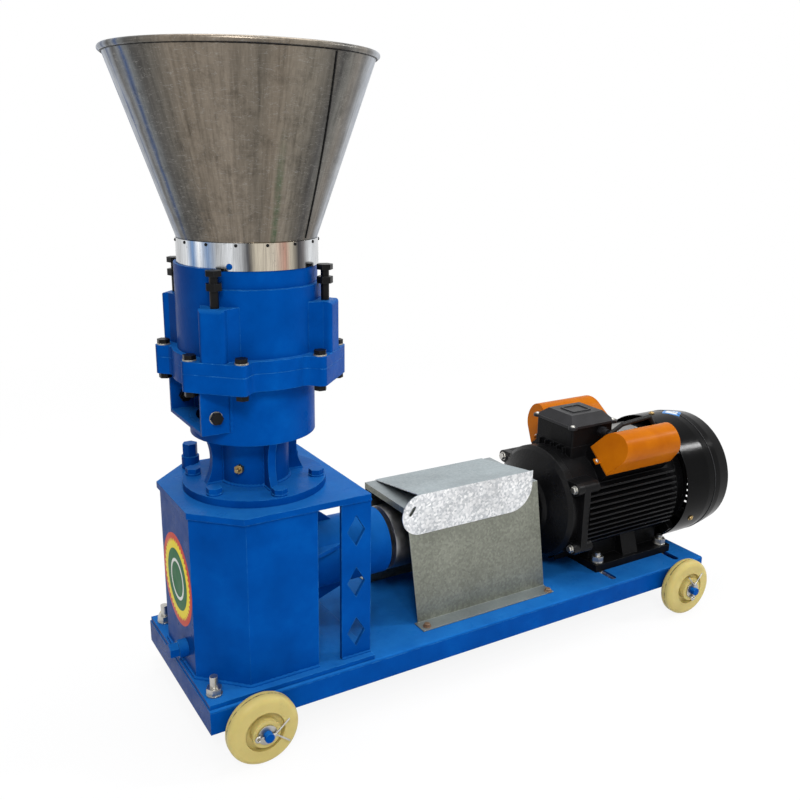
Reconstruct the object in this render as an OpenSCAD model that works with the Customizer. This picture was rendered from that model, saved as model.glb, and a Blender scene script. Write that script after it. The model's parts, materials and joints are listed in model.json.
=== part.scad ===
// Flat-die feed pellet mill on a wheeled deck, millimetres, +Z up.
// The origin lies on the floor under the middle of the overall box.
// The vertical head axis and the horizontal drive axis both lie in the plane y = 0.

/* [Deck] */
// Length of the deck sheet
deck_l = 850; // [840:5:1000]
// Width of the deck sheet
deck_w = 248; // [246:2:300]
// Thickness of the deck sheet
deck_t = 3; // [2:0.5:5]
// Depth of the side rails under the sheet
rail_h = 29; // [28:1:40]
// Thickness of the rails
rail_t = 3; // [2:0.5:5]
// Distance from the deck's left end to the head axis
head_inset = 114.5; // [114:0.5:125]

/* [Wheels] */
// Tread diameter of the wheels
wheel_d = 91; // [80:1:110]
// Width of the tread
wheel_w = 22; // [16:1:24]
// Length of the wheel hub
hub_w = 30; // [26:1:34]
// Diameter of the wheel hub
hub_d = 36; // [28:1:42]
// Diameter of the hollow around the hub
dish_d = 51; // [46:1:60]
// Axle diameter
axle_d = 12; // [10:1:14]
// Depth of the axle axis under the deck's top
axle_drop = 30.5; // [28:0.5:31]
// Distance from each deck end to its axle
axle_inset = 58; // [50:1:80]
// Length of axle past the deck's side
axle_out = 42; // [40:1:50]

/* [Pedestal] */
// Thickness of the pedestal's base plate
base_t = 6; // [5:0.5:10]
// Length of the base plate
base_l = 225; // [222:1:235]
// Width of the base plate
base_w = 241; // [236:1:246]
// Length of the closed gearbox
box_l = 145; // [144:1:150]
// Width of the closed gearbox
box_w = 216; // [200:1:220]
// Height of the gearbox and posts
box_h = 215.5; // [210:0.5:240]
// Wall of the gearbox
box_wall = 6; // [4:0.5:7]
// Distance from the gearbox's left wall to the head axis
box_inset = 108; // [106:0.5:109]
// Length and width of the cut-off left corners
box_chamfer = 52; // [40:1:60]
// Thickness of the top plate
top_t = 8; // [6:0.5:12]
// Overhang of the top plate round the gearbox
top_lip = 3; // [2:0.5:6]
// Width of the pierced posts
post_w = 42; // [36:1:46]
// Thickness of the posts
post_t = 5; // [4:0.5:8]

/* [Drive line] */
// Height of the drive axis above the deck's top
drive_h = 108; // [106:0.5:112]
// Outer diameter of the pinion housing
housing_d = 94; // [88:1:98]
// Length of the pinion housing
housing_l = 142.5; // [130:0.5:145]
// Bore of the pinion housing, a bearing seat
housing_bore = 62; // [62:0.5:66]
// Diameter of the pinion shaft in its bearings
pinion_shaft_d = 30; // [28:0.5:34]
// Gear module of the bevel pair
gear_m = 2.3; // [2:0.1:2.4]
// Diameter of the coupling
coupling_d = 92; // [80:1:96]

/* [Column and lower chamber] */
// Height of the column from the top plate to the chamber
col_h = 73.5; // [70:0.5:90]
// Diameter of the column's foot flange
col_flange_d = 182; // [176:1:190]
// Thickness of the foot flange
col_flange_t = 9.5; // [8:0.5:14]
// Outer diameter of the bearing tube
col_d = 88; // [86:1:94]
// Bore of the bearing tube, a bearing seat
col_bore = 72; // [72:0.5:76]
// Outer diameter of the lower chamber
low_d = 156; // [154:1:160]
// Wall of the lower chamber
low_wall = 8; // [6:0.5:10]
// Height of the lower chamber with its flange
low_h = 92.5; // [88:0.5:110]
// Thickness of the lower chamber's flange
low_flange_t = 21; // [18:0.5:26]
// Width of the discharge chute
chute_w = 118; // [110:1:126]
// Reach of the chute's mouth from the head axis
chute_reach = 87; // [84:1:92]
// Height of the chute's floor above the chamber's bottom
chute_rise = 17; // [14:0.5:20]
// Thickness of the chute's plates
chute_t = 4; // [3:0.5:5]

/* [Upper chamber] */
// Bore of the pressing chamber
chamber_bore = 152; // [152:0.5:156]
// Outer diameter of the upper chamber
up_d = 176; // [174:1:180]
// Height of the upper chamber with its flange
up_h = 117.5; // [112:0.5:130]
// Thickness of the upper chamber's flange
up_flange_t = 14.5; // [12:0.5:20]
// Distance from the head axis to the flat faces of the flange lobes
lobe_reach = 110.5; // [110:0.5:116]
// Width of the flat faces of the lobes
lobe_w = 80; // [78:1:84]
// Width of the four screw lugs
lug_w = 32; // [30:1:38]
// Height of the lugs above the flange split
lug_h = 75.5; // [72:0.5:84]
// Distance from the head axis to the adjusting screws
screw_r = 97; // [96:0.5:98]
// Diameter of the adjusting screws
screw_d = 10; // [8:1:12]

/* [Die and rollers] */
// Diameter of the flat die
die_d = 149; // [140:1:149.5]
// Thickness of the die
die_t = 20; // [16:0.5:24]
// Diameter of the die holes
die_hole_d = 5; // [3:0.5:6]
// Diameter of the pressing rollers
roller_d = 58; // [54:1:60]
// Width of the rollers
roller_w = 28; // [24:1:30]
// Distance from the head axis to the middle of each roller
roller_mid = 53; // [52:0.5:55]
// Gap between rollers and die
roller_gap = 0.4; // [0.2:0.1:1]

/* [Hopper] */
// Step from the chamber's bore out to the neck
neck_step = 8.4; // [8:0.1:8.5]
// Height of the neck
neck_h = 31; // [28:0.5:40]
// Sheet thickness of the hopper
sheet_t = 1.2; // [1:0.1:2]
// Diameter of the rim through the middle of its bead
rim_d = 307; // [290:1:330]
// Height of the cone from the neck to the middle of the bead
cone_h = 204; // [180:1:240]
// Diameter of the rolled bead
bead_d = 7; // [5:0.5:9]

/* [Coupling guard] */
// Distance from the head axis to the foot of the guard's plates
guard_start = 209; // [206:0.5:212]
// Gap between the guard and the motor's front flange
guard_gap = 47.5; // [42:0.5:56]
// Width of the guard at the deck
guard_w = 146; // [140:1:150]
// Width of the guard at its top
guard_top_w = 118; // [112:1:124]
// Height of the guard's top plate
guard_h = 171; // [168:1:176]
// Lean of the guard's end edges away from the motor
guard_lean = 14; // [8:1:18]
// Sheet thickness of the guard
guard_t = 1.5; // [1:0.5:2]
// Height of the lid's fold above the deck
lid_h = 191; // [186:1:198]
// Length by which the lid is shorter than the guard
lid_short = 35; // [20:1:50]
// Depth of the lid's front flap
flap_h = 59; // [50:1:66]

/* [Motor] */
// Distance from the deck's right end to the motor's front flange
motor_inset = 250; // [245.5:0.5:250.5]
// Outer diameter of the motor's barrel
barrel_d = 176; // [172:1:180]
// Wall of the barrel
barrel_wall = 6; // [5:0.5:8]
// Length of the motor frame
frame_l = 211; // [200:1:215]
// Diameter over the cooling fins
fin_d = 202; // [196:1:206]
// Number of fins on each side
fin_n = 11; // [9:1:13]
// Diameter of the fan cover
fan_cover_d = 212; // [206:1:214]
// Length of the fan cover
fan_cover_l = 112; // [104:1:120]
// Distance between foot holes along the motor
foot_pitch_x = 140; // [136:1:144]
// Distance between foot holes across the motor
foot_pitch_y = 136; // [132:1:138]
// Diameter of the motor's shaft end
motor_shaft_d = 28; // [26:1:30]
// Side of the terminal box
term_w = 84; // [78:1:88]
// Height of the terminal box's rim above the drive axis
term_h = 126; // [122:1:132]

/* [Hidden] */

// Shared fits and overruns
cut = 1;
fit = 0.03;
play = 0.3;
run = 0.05;
round_fn = 96;

// Fastener sizes by thread diameter, as shares of it
head_share = 1.7;
head_t_share = 0.65;
foot_share = 0.645;
foot_stud_share = 1.8;
nut_t_share = 0.8;
washer_share = 2.0;
washer_t_share = 0.2;
bolt_end_share = 1.2;

// Heights from the floor
deck_z = wheel_d/2 + axle_drop;
rail_z = deck_z - deck_t - rail_h;
axle_z = deck_z - axle_drop;
drive_z = deck_z + drive_h;
box_z = deck_z + base_t;
top_z = box_z + box_h;
col_z = top_z + top_t;
low_z = col_z + col_h;
split_z = low_z + low_h;
up_top = split_z + up_h;

// Hopper seat and levels
neck_d = chamber_bore + 2*neck_step;
seat_depth = 2;
seat_play = 0.3;
neck_z = up_top - seat_depth;
joint_z = neck_z + neck_h;
rim_z = joint_z + cone_h;
skirt_h = 10;

// Places along the machine, from the head axis
hopper_r = rim_d/2 + bead_d/2;
motor_start = deck_l - head_inset - motor_inset;
frame_end = motor_start + frame_l;
bell_l = 38;
cover_lap = 6;
rear_l = 15;
cover_start = frame_end + rear_l - cover_lap;
motor_end = cover_start + fan_cover_l;
head_x = (hopper_r - motor_end)/2;
deck_x = head_x - head_inset;
axle_xs = [deck_x + axle_inset, deck_x + deck_l - axle_inset];
axle_half = deck_w/2 + axle_out;
wall_x = box_l - box_inset;
housing_end = wall_x + housing_l;
post_x = base_l - box_inset - post_w - box_wall;
foot_mid = motor_start + frame_l*foot_share;

// General shapes
module hex(across, h) {
    cylinder(d = across*2/sqrt(3), h = h, $fn = 6);
}
module ring(d_out, d_in, h) {
    difference() {
        cylinder(d = d_out, h = h, $fn = round_fn);
        translate([0, 0, -cut]) cylinder(d = d_in, h = h + 2*cut, $fn = round_fn);
    }
}
module rod(d, h) {
    cylinder(d = d, h = h, $fn = round_fn);
}
// A plain bolt pointing down from its head's underside at z = 0
module hex_bolt(d, l) {
    hex(d*head_share, d*head_t_share);
    translate([0, 0, -l]) rod(d, l + cut/4);
}
module hex_nut(d) {
    difference() {
        hex(d*head_share, d*nut_t_share);
        translate([0, 0, -cut]) rod(d + 2*fit, d*nut_t_share + 2*cut);
    }
}
module washer(d) {
    ring(d*washer_share, d + 2*fit, d*washer_t_share);
}
module at_head(z = 0) {
    translate([head_x, 0, z]) children();
}
// Turns a shape drawn along +Z to lie along +X on the drive axis
module on_drive(x) {
    translate([head_x + x, 0, drive_z]) rotate([0, 90, 0]) children();
}
module both_y() {
    for (s = [-1, 1]) scale_y(s) children();
}
module scale_y(s) {
    if (s > 0) children();
    else mirror([0, 1, 0]) children();
}
// A slot outline along Y with round ends
module slot_y(w, l) {
    square([w, l - w], center = true);
    for (s = [-1, 1]) translate([0, s*(l - w)/2]) circle(d = w, $fn = round_fn/2);
}
// A rectangle with round corners, centred
module round_rect(l, w, r) {
    square([l - 2*r, w], center = true);
    square([l, w - 2*r], center = true);
    for (sx = [-1, 1], sy = [-1, 1]) translate([sx*(l/2 - r), sy*(w/2 - r)]) circle(r, $fn = round_fn/2);
}

// Deck: folded top sheet, rails, stud and slot places
stud_d = 10;
stud_in_x = 14.5;
stud_in_y = 21;
motor_slot_out = 14.5;
motor_slot_w = 12;
motor_slot_l = 55;
stud_places = [for (s = [-1, 1]) [deck_x + stud_in_x, s*(base_w/2 - stud_in_y)]];
module deck_section() {
    translate([-deck_w/2 + deck_t, -deck_t]) square([deck_w - 2*deck_t, deck_t]);
    for (s = [-1, 1]) intersection() {
        translate([s*(deck_w/2 - deck_t), -deck_t]) circle(deck_t, $fn = round_fn);
        translate([-deck_w/2, -deck_t]) square([deck_w, deck_t]);
    }
}
module deck_plate() color("#1552a8") difference() {
    translate([deck_x, 0, deck_z]) rotate([90, 0, 90]) linear_extrude(deck_l) deck_section();
    for (p = stud_places) translate([p.x, p.y, deck_z - deck_t - cut]) rod(stud_d + 2*fit, deck_t + 2*cut);
    for (sx = [-1, 1], sy = [-1, 1])
        at_head(deck_z - deck_t - cut)
            translate([foot_mid + sx*foot_pitch_x/2, sy*(foot_pitch_y/2 + motor_slot_out), 0])
                linear_extrude(deck_t + 2*cut) slot_y(motor_slot_w, motor_slot_l);
}
module side_rails() color("#1552a8") for (s = [-1, 1]) difference() {
    translate([deck_x, s*(deck_w - rail_t)/2 - rail_t/2, rail_z]) cube([deck_l, rail_t, rail_h]);
    for (x = axle_xs) translate([x, s*deck_w/2 - deck_w/4, axle_z]) {
        rotate([-90, 0, 0]) rod(axle_d + 2*run, deck_w/2);
        translate([-axle_d/2 - run, 0, -axle_d]) cube([axle_d + 2*run, deck_w/2, axle_d]);
    }
}
module end_rails() color("#1552a8") for (x = [deck_x, deck_x + deck_l - rail_t])
    translate([x, rail_t - deck_w/2, rail_z]) cube([rail_t, deck_w - 2*rail_t, rail_h]);

// Wheels turn on round axles that are welded into notches of the rails
pin_d = 2.8;
pin_eye_d = 9;
pin_leg = 24;
pin_leg_share = 0.8;
pin_in = 5;
washer_w = 2;
wheel_y = deck_w/2 + washer_w + play + hub_w/2;
washer_d = 25;
module axles() color("#1f5fb4") for (x = axle_xs) difference() {
    translate([x, -axle_half, axle_z]) rotate([-90, 0, 0]) rod(axle_d, 2*axle_half);
    for (s = [-1, 1]) translate([x, s*(axle_half - pin_in), axle_z])
        rotate([0, x < head_x ? 90 : 0, 0]) translate([0, 0, -axle_d]) rod(pin_d + 4*run, 2*axle_d);
}
tread_r = 8;
rim_t = 10;
web_t = 8;
module wheel_profile() {
    // half section of the wheel, x is the radius and y the width
    translate([axle_d/2 + run, -hub_w/2]) square([(hub_d - axle_d)/2 - run, hub_w]);
    translate([hub_d/2 - cut/4, -web_t/2]) square([dish_d/2 - hub_d/2 + cut/2, web_t]);
    translate([dish_d/2, -wheel_w/2]) square([wheel_d/2 - tread_r - dish_d/2, wheel_w]);
    translate([wheel_d/2 - tread_r - cut/4, tread_r - wheel_w/2])
        square([tread_r + cut/4, wheel_w - 2*tread_r]);
    for (s = [-1, 1]) translate([wheel_d/2 - tread_r, s*(wheel_w/2 - tread_r)]) circle(tread_r, $fn = round_fn);
}
module wheel(x, s) color("#e3dc9a")
    translate([x, s*wheel_y, axle_z]) rotate([90, 0, 0]) rotate_extrude($fn = round_fn) wheel_profile();
module wheel_near_left() wheel(axle_xs[0], -1);
module wheel_near_right() wheel(axle_xs[1], -1);
module wheel_far_left() wheel(axle_xs[0], 1);
module wheel_far_right() wheel(axle_xs[1], 1);
module split_pin() {
    // shank through the axle along Z, eye below, two spread legs above
    translate([0, 0, -axle_d/2 - pin_eye_d/2]) {
        rod(pin_d, axle_d + pin_eye_d);
        translate([0, 0, -pin_eye_d/4]) rotate([90, 0, 0])
            rotate_extrude($fn = round_fn/2) translate([pin_eye_d/2 - pin_d/2, 0]) circle(d = pin_d, $fn = 16);
        for (a = [-40, 40]) translate([0, 0, axle_d + pin_eye_d - pin_d/2]) rotate([0, a, 0])
            rod(pin_d*pin_leg_share, pin_leg);
    }
}
module wheel_retainers() color("silver") for (x = axle_xs, s = [-1, 1]) {
    for (y = [deck_w/2, deck_w/2 + washer_w + 2*play + hub_w])
        translate([x, s > 0 ? y : -y - washer_w, axle_z]) rotate([-90, 0, 0])
            ring(washer_d, axle_d + 2*run, washer_w);
    translate([x, s*(axle_half - pin_in), axle_z]) rotate([0, x < head_x ? 90 : 0, 0]) split_pin();
}

// Pedestal: base plate, closed gearbox, pierced posts and top plate
cup_wall = 4.5;
shaft_low_d = 25;
low_bearing_d = 52;
low_bearing_t = 15;
low_bearing = [shaft_low_d, low_bearing_d, low_bearing_t];
cup_floor = 3;
cup_h = low_bearing[2] + cup_floor;
module box_outline(grow) {
    l = box_inset + grow;
    w = box_w/2 + grow;
    c = box_chamfer;
    r = wall_x + grow;
    polygon([[-l, -w + c], [-l + c, -w], [r, -w], [r, w], [-l + c, w], [-l, w - c]]);
}
module base_plate() color("#1552a8") at_head(deck_z) difference() {
    union() {
        translate([-head_inset + deck_t/3, -base_w/2, 0]) cube([base_l, base_w, base_t]);
        translate([0, 0, base_t - cut/4]) rod(low_bearing[1] + 2*cup_wall, cup_h + cut/4);
    }
    translate([0, 0, base_t + cup_floor]) rod(low_bearing[1] + 2*fit, cup_h);
    for (p = stud_places) translate([p.x - head_x, p.y, -cut]) rod(stud_d + 2*fit, base_t + 2*cut);
}
stud_l = 34;
module base_fasteners() color("silver") for (p = stud_places) {
    translate([p.x, p.y, deck_z - deck_t]) {
        translate([0, 0, -stud_d*head_t_share]) hex(stud_d*head_share, stud_d*head_t_share);
        translate([0, 0, -cut/4]) rod(stud_d, stud_l);
    }
    translate([p.x, p.y, deck_z + base_t]) washer(stud_d);
    translate([p.x, p.y, deck_z + base_t + stud_d*washer_t_share]) hex_nut(stud_d);
}
drain_z = 26;
drain_y = -22;
drain_d = 16;
filler_x = -55;
filler_y = 90;
filler_d = 16;
module gearbox_shell() color("#10489c") at_head(box_z) difference() {
    linear_extrude(box_h) box_outline(0);
    translate([0, 0, -cut]) linear_extrude(box_h + 2*cut) box_outline(-box_wall);
    translate([wall_x - box_wall - cut, 0, drive_z - box_z]) rotate([0, 90, 0])
        rod(housing_bore + 2*fit, box_wall + 2*cut);
    translate([-box_inset - cut, drain_y, drain_z]) rotate([0, 90, 0]) rod(drain_d + 2*fit, box_wall + 2*cut);
}
col_bolt_r = 79;
col_bolt_d = 10;
col_bolt_turn = 30;
shaft_d = 35;
module col_bolt_places() {
    for (a = [0:60:300]) rotate([0, 0, a + col_bolt_turn]) translate([col_bolt_r, 0, 0]) children();
}
top_l = base_l - top_lip - deck_t/3;
module top_plate() color("#2469bd") at_head(top_z) difference() {
    linear_extrude(top_t) {
        l = box_inset + top_lip;
        w = box_w/2 + top_lip;
        c = box_chamfer;
        polygon([[-l, -w + c], [-l + c, -w], [top_l - l, -w], [top_l - l, w], [-l + c, w], [-l, w - c]]);
    }
    translate([0, 0, -cut]) rod(shaft_d + 4*play, top_t + 2*cut);
    col_bolt_places() translate([0, 0, -cut]) rod(col_bolt_d + 2*fit, top_t + 2*cut);
    translate([filler_x, filler_y, -cut]) rod(filler_d + 2*fit, top_t + 2*cut);
}
diamond_w = 25.5;
diamond_h = 42;
diamond_pitch = 71;
module pierced_posts() color("#10489c") both_y() at_head(box_z)
    translate([post_x, -box_w/2 - cut/4 - top_lip/4, 0]) rotate([90, 0, 0]) mirror([0, 0, 1])
        linear_extrude(post_t) difference() {
            square([post_w, box_h]);
            for (k = [-1:1]) translate([post_w/2, box_h/2 + k*diamond_pitch - diamond_h/20])
                polygon([[-diamond_w/2, 0], [0, -diamond_h/2], [diamond_w/2, 0], [0, diamond_h/2]]);
        }
gusset_t = 6;
gusset_top = 57;
gusset_low = 42;
side_rib_w = 20;
rib_share = 0.8;
rib_end = wall_x + housing_l*rib_share;
module pinion_housing() color("#1f62b8") difference() {
    union() {
        on_drive(wall_x) rod(housing_d, housing_l);
        at_head(drive_z) rotate([90, 0, 0]) translate([0, 0, -gusset_t/2]) linear_extrude(gusset_t) {
            polygon([[wall_x, housing_d/2 + gusset_top], [wall_x, 0], [rib_end, 0],
                     [wall_x + housing_l/2, housing_d/2]]);
            polygon([[wall_x, -housing_d/2 - gusset_low], [wall_x, 0], [rib_end, 0], [rib_end, -housing_d/2]]);
        }
        at_head(drive_z + housing_d/4) translate([0, 0, -gusset_t/2]) linear_extrude(gusset_t)
            polygon([[wall_x, -housing_d/2 - side_rib_w], [wall_x, housing_d/2 + side_rib_w],
                     [rib_end, housing_d/4], [rib_end, -housing_d/4]]);
    }
    on_drive(wall_x - cut) rod(housing_bore + 2*fit, housing_l + 2*cut);
}
collar_share = 0.5;
plug_hex_share = 0.75;
collar_d_share = 1.45;
module plug(d, collar_d, l, stem) {
    translate([0, 0, -stem]) rod(d, stem + cut/4);
    rod(collar_d, l*collar_share);
    translate([0, 0, l*collar_share - cut/4]) hex(collar_d*plug_hex_share, l*(1 - collar_share) + cut/4);
}
filler_h = 34;
module oil_plugs() color("#1552a8") {
    at_head(col_z) translate([filler_x, filler_y, 0]) plug(filler_d, filler_d*collar_d_share, filler_h, top_t);
    at_head(box_z) translate([-box_inset, drain_y, drain_z]) rotate([0, -90, 0])
        plug(drain_d, drain_d*collar_d_share, drain_d*collar_d_share, box_wall);
}

// Column with its waisted ribs
rib_t = 10;
rib_r = 66;
rib_waist = 9;
nipple_d = 6;
nipple_z = 33;
nipple_tip_share = 0.8;
col_bearing_t = 17;
col_bearing = [shaft_d, col_bore, col_bearing_t];
module column_rib() {
    h = col_h - col_flange_t;
    arc_r = (pow(h/2, 2) + pow(rib_waist, 2))/(2*rib_waist);
    rotate([90, 0, 0]) translate([0, 0, -rib_t/2]) linear_extrude(rib_t) difference() {
        translate([col_d/2 - rib_t/2, col_flange_t - cut/4]) square([rib_r - col_d/2 + rib_t/2, h + cut/4]);
        translate([rib_r - rib_waist + arc_r, col_flange_t + h/2]) circle(arc_r, $fn = 2*round_fn);
    }
}
module column() color("#1552a8") at_head(col_z) difference() {
    union() {
        rod(col_flange_d, col_flange_t);
        rod(col_d, col_h);
        for (a = [0:90:270]) rotate([0, 0, a]) column_rib();
    }
    translate([0, 0, col_flange_t]) rod(col_bore + 2*fit, col_h);
    translate([0, 0, -cut]) rod(shaft_d + 4*play, col_h);
    col_bolt_places() translate([0, 0, -cut]) rod(col_bolt_d + 2*fit, col_flange_t + 2*cut);
    rotate([0, 0, 225]) translate([0, 0, nipple_z]) rotate([0, 90, 0]) rod(nipple_d + 2*fit, col_d);
}
col_grip = col_flange_t + top_t;
module column_bolts() color("#1552a8") at_head(col_z + col_flange_t) col_bolt_places() {
    washer(col_bolt_d);
    translate([0, 0, col_bolt_d*washer_t_share])
        hex_bolt(col_bolt_d, col_grip + col_bolt_d*(washer_t_share + bolt_end_share));
    translate([0, 0, -col_grip - col_bolt_d*nut_t_share]) hex_nut(col_bolt_d);
}
module grease_nipple() color("#8a6a3a") at_head(col_z + nipple_z) rotate([0, 0, 225]) rotate([0, 90, 0]) {
    translate([0, 0, col_bore/2 + 2*run]) rod(nipple_d, (col_d - col_bore)/2);
    translate([0, 0, col_d/2]) hex(nipple_d*head_share, nipple_d);
    translate([0, 0, col_d/2 + nipple_d - cut/4]) rod(nipple_d*nipple_tip_share, nipple_d);
}

// Lower chamber with the lobed flange, the discharge mouth and the chute
flange_bolt_d = 8;
flange_bolt_r = 106;
flange_bolt_angle = 17.5;
flange_d = 190;
lobe_round = 6;
lobe_fillet_r = 12;
// The round inner corner between a lobe's side and the flange's circle
module lobe_fillet() {
    r = flange_d/2;
    h = lobe_w/2;
    u = sqrt(pow(r + lobe_fillet_r, 2) - pow(h + lobe_fillet_r, 2));
    t = (h + lobe_fillet_r)*r/(r + lobe_fillet_r);
    difference() {
        translate([u - lobe_fillet_r, h - cut]) square([lobe_fillet_r, t - h + cut]);
        translate([u, h + lobe_fillet_r - cut/4]) circle(lobe_fillet_r, $fn = round_fn);
    }
}
module lobed_outline() {
    circle(d = flange_d, $fn = 2*round_fn);
    for (a = [45:90:315]) rotate(a) {
        translate([flange_d/4, lobe_round - lobe_w/2]) square([lobe_reach - flange_d/4, lobe_w - 2*lobe_round]);
        translate([flange_d/4, -lobe_w/2]) square([lobe_reach - lobe_round - flange_d/4, lobe_w]);
        for (s = [-1, 1]) {
            translate([lobe_reach - lobe_round, s*(lobe_w/2 - lobe_round)])
                circle(lobe_round, $fn = round_fn/2);
            scale_y(s) lobe_fillet();
        }
    }
}
module flange_bolt_places() {
    for (a = [45:90:315], s = [-1, 1]) rotate([0, 0, a + s*flange_bolt_angle])
        translate([flange_bolt_r, 0, 0]) children();
}
low_floor_t = 8;
low_in_d = low_d - 2*low_wall;
die_play = 1;
die_z = split_z + die_play - die_t;
mouth_z = chute_rise + chute_t;
mouth_h = 45;
module lower_chamber() color("#1552a8") at_head(low_z) difference() {
    union() {
        rod(low_d, low_h - cut);
        translate([0, 0, low_h - low_flange_t]) linear_extrude(low_flange_t) lobed_outline();
    }
    translate([0, 0, low_floor_t]) rod(low_in_d, low_h);
    translate([0, 0, low_h - low_flange_t]) rod(die_d + 2*die_play, low_flange_t + cut);
    translate([0, 0, -cut]) rod(shaft_d + 4*play, low_h);
    translate([-low_d, -chute_w/2 + 2*chute_t, mouth_z])
        cube([low_d - low_in_d/4, chute_w - 4*chute_t, mouth_h]);
    flange_bolt_places() translate([0, 0, low_h - low_flange_t - cut])
        rod(flange_bolt_d + 2*fit, low_flange_t + 2*cut);
}
chute_bolt_d = 8;
chute_bolt_in = 17.6;
chute_bolt_share = 0.525;
chute_end_share = 0.4;
chute_h = low_h - low_flange_t;
module discharge_chute() color("#1552a8") at_head(low_z) difference() {
    union() {
        both_y() translate([-chute_reach, chute_w/2 - chute_t, chute_rise])
            cube([chute_reach, chute_t, chute_h - chute_rise]);
        translate([-chute_reach, -chute_w/2, chute_rise]) cube([chute_reach, chute_w, chute_t]);
    }
    translate([0, 0, -cut]) rod(low_d + 2*run, low_h);
    translate([chute_bolt_in - chute_reach, 0, chute_h*chute_bolt_share]) rotate([90, 0, 0])
        translate([0, 0, -chute_w]) rod(chute_bolt_d + 2*fit, 2*chute_w);
}

// Upper chamber: lugs with pockets for the carrier's arms, seat for the hopper
lug_reach = 110;
lug_wall = 6;
lug_round = 5;
lug_flare_w = 50;
lug_flare_r = 83;
pocket_w = 20;
pocket_top = 19;
relief_h = 23;
relief_d = 166;
// Plan of a lug, wider where it leaves the chamber's wall
module lug_plan() {
    r0 = chamber_bore/2 + cut;
    r2 = lug_reach - 2*lug_round;
    w = lug_flare_w/2;
    translate([(lug_reach + r0)/2, 0]) round_rect(lug_reach - r0, lug_w, lug_round);
    polygon([[r0, -w], [lug_flare_r, -w], [r2, -lug_w/2], [r2, lug_w/2], [lug_flare_r, w], [r0, w]]);
}
module lug() {
    intersection() {
        linear_extrude(lug_h) lug_plan();
        rotate([90, 0, 0]) translate([0, 0, -lug_flare_w]) linear_extrude(2*lug_flare_w) {
            translate([chamber_bore/2, 0]) square([lug_reach - chamber_bore/2, lug_h - lug_round]);
            translate([chamber_bore/2, 0]) square([lug_reach - chamber_bore/2 - lug_round, lug_h]);
            translate([lug_reach - lug_round, lug_h - lug_round]) circle(lug_round, $fn = round_fn/2);
        }
    }
}
module upper_chamber() color("#1552a8") at_head(split_z) difference() {
    union() {
        rod(up_d, up_h);
        linear_extrude(up_flange_t) lobed_outline();
        for (a = [45:90:315]) rotate([0, 0, a]) lug();
    }
    translate([0, 0, -cut]) rod(chamber_bore, up_h + 2*cut);
    translate([0, 0, up_h - seat_depth]) rod(neck_d + 2*seat_play, seat_depth + cut);
    rotate([0, 0, 223]) translate([0, 0, up_h - relief_h]) rotate_extrude(angle = 180, $fn = round_fn)
        translate([relief_d/2, 0]) square([up_d/2, relief_h + cut]);
    for (a = [45:90:315]) rotate([0, 0, a]) {
        translate([chamber_bore/4, -pocket_w/2, -cut])
            cube([lug_reach - lug_wall - chamber_bore/4, pocket_w, lug_h - pocket_top + cut]);
        translate([screw_r, 0, 0]) rod(screw_d + 4*run, lug_h + cut);
    }
    flange_bolt_places() translate([0, 0, -cut]) rod(flange_bolt_d + 2*fit, up_flange_t + 2*cut);
}
flange_grip = up_flange_t + low_flange_t;
module chamber_fasteners() color("#26262a") {
    at_head(split_z + up_flange_t) flange_bolt_places() {
        color("#c9c4b8") washer(flange_bolt_d);
        translate([0, 0, flange_bolt_d*washer_t_share]) hex_bolt(flange_bolt_d, flange_grip + flange_bolt_d);
        translate([0, 0, -flange_grip - flange_bolt_d*nut_t_share]) hex_nut(flange_bolt_d);
    }
    at_head(low_z + chute_h*chute_bolt_share) both_y()
        translate([chute_bolt_in - chute_reach, chute_w/2, 0]) rotate([-90, 0, 0]) {
            color("#c9c4b8") washer(chute_bolt_d);
            translate([0, 0, chute_bolt_d*washer_t_share])
                hex_bolt(chute_bolt_d, chute_t + chute_bolt_d*(nut_t_share + washer_t_share + chute_end_share));
            translate([0, 0, -chute_t - chute_bolt_d*nut_t_share]) hex_nut(chute_bolt_d);
        }
}

// Main shaft with bearings, bevel crown gear, ejector, die and nut
low_bearing_z = box_z + cup_floor;
shaft_step_z = drive_z + shaft_d;
die_seat_t = 12;
die_seat_d = 56;
shaft_top_d = 30;
die_nut_t = 14;
die_nut_share = 1.5;
shaft_stub = 2;
die_top = die_z + die_t;
module main_shaft() color("#9a9ca0") at_head() {
    translate([0, 0, low_bearing_z + play]) rod(shaft_low_d, shaft_step_z - low_bearing_z - play + cut);
    translate([0, 0, shaft_step_z]) rod(shaft_d, die_z - shaft_step_z - die_seat_t + cut);
    translate([0, 0, die_z - die_seat_t]) rod(die_seat_d, die_seat_t);
    translate([0, 0, die_z - cut]) rod(shaft_top_d, die_t + die_nut_t + shaft_stub + cut);
}
bearing_groove = 1;
module bearing(b) {
    // b holds bore, outer diameter and width
    mid = (b[0] + b[1])/4;
    half = (b[1] - b[0])/8;
    difference() {
        ring(b[1], b[0] + 2*run, b[2]);
        for (z = [-cut, b[2] - bearing_groove])
            translate([0, 0, z]) ring(2*(mid + half), 2*(mid - half), bearing_groove + cut);
    }
}
module shaft_bearings() color("#b9bcc0") at_head() {
    translate([0, 0, low_bearing_z]) bearing(low_bearing);
    translate([0, 0, col_z + col_flange_t]) bearing(col_bearing);
    translate([0, 0, low_z - col_bearing[2] - shaft_stub]) bearing(col_bearing);
}

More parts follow.
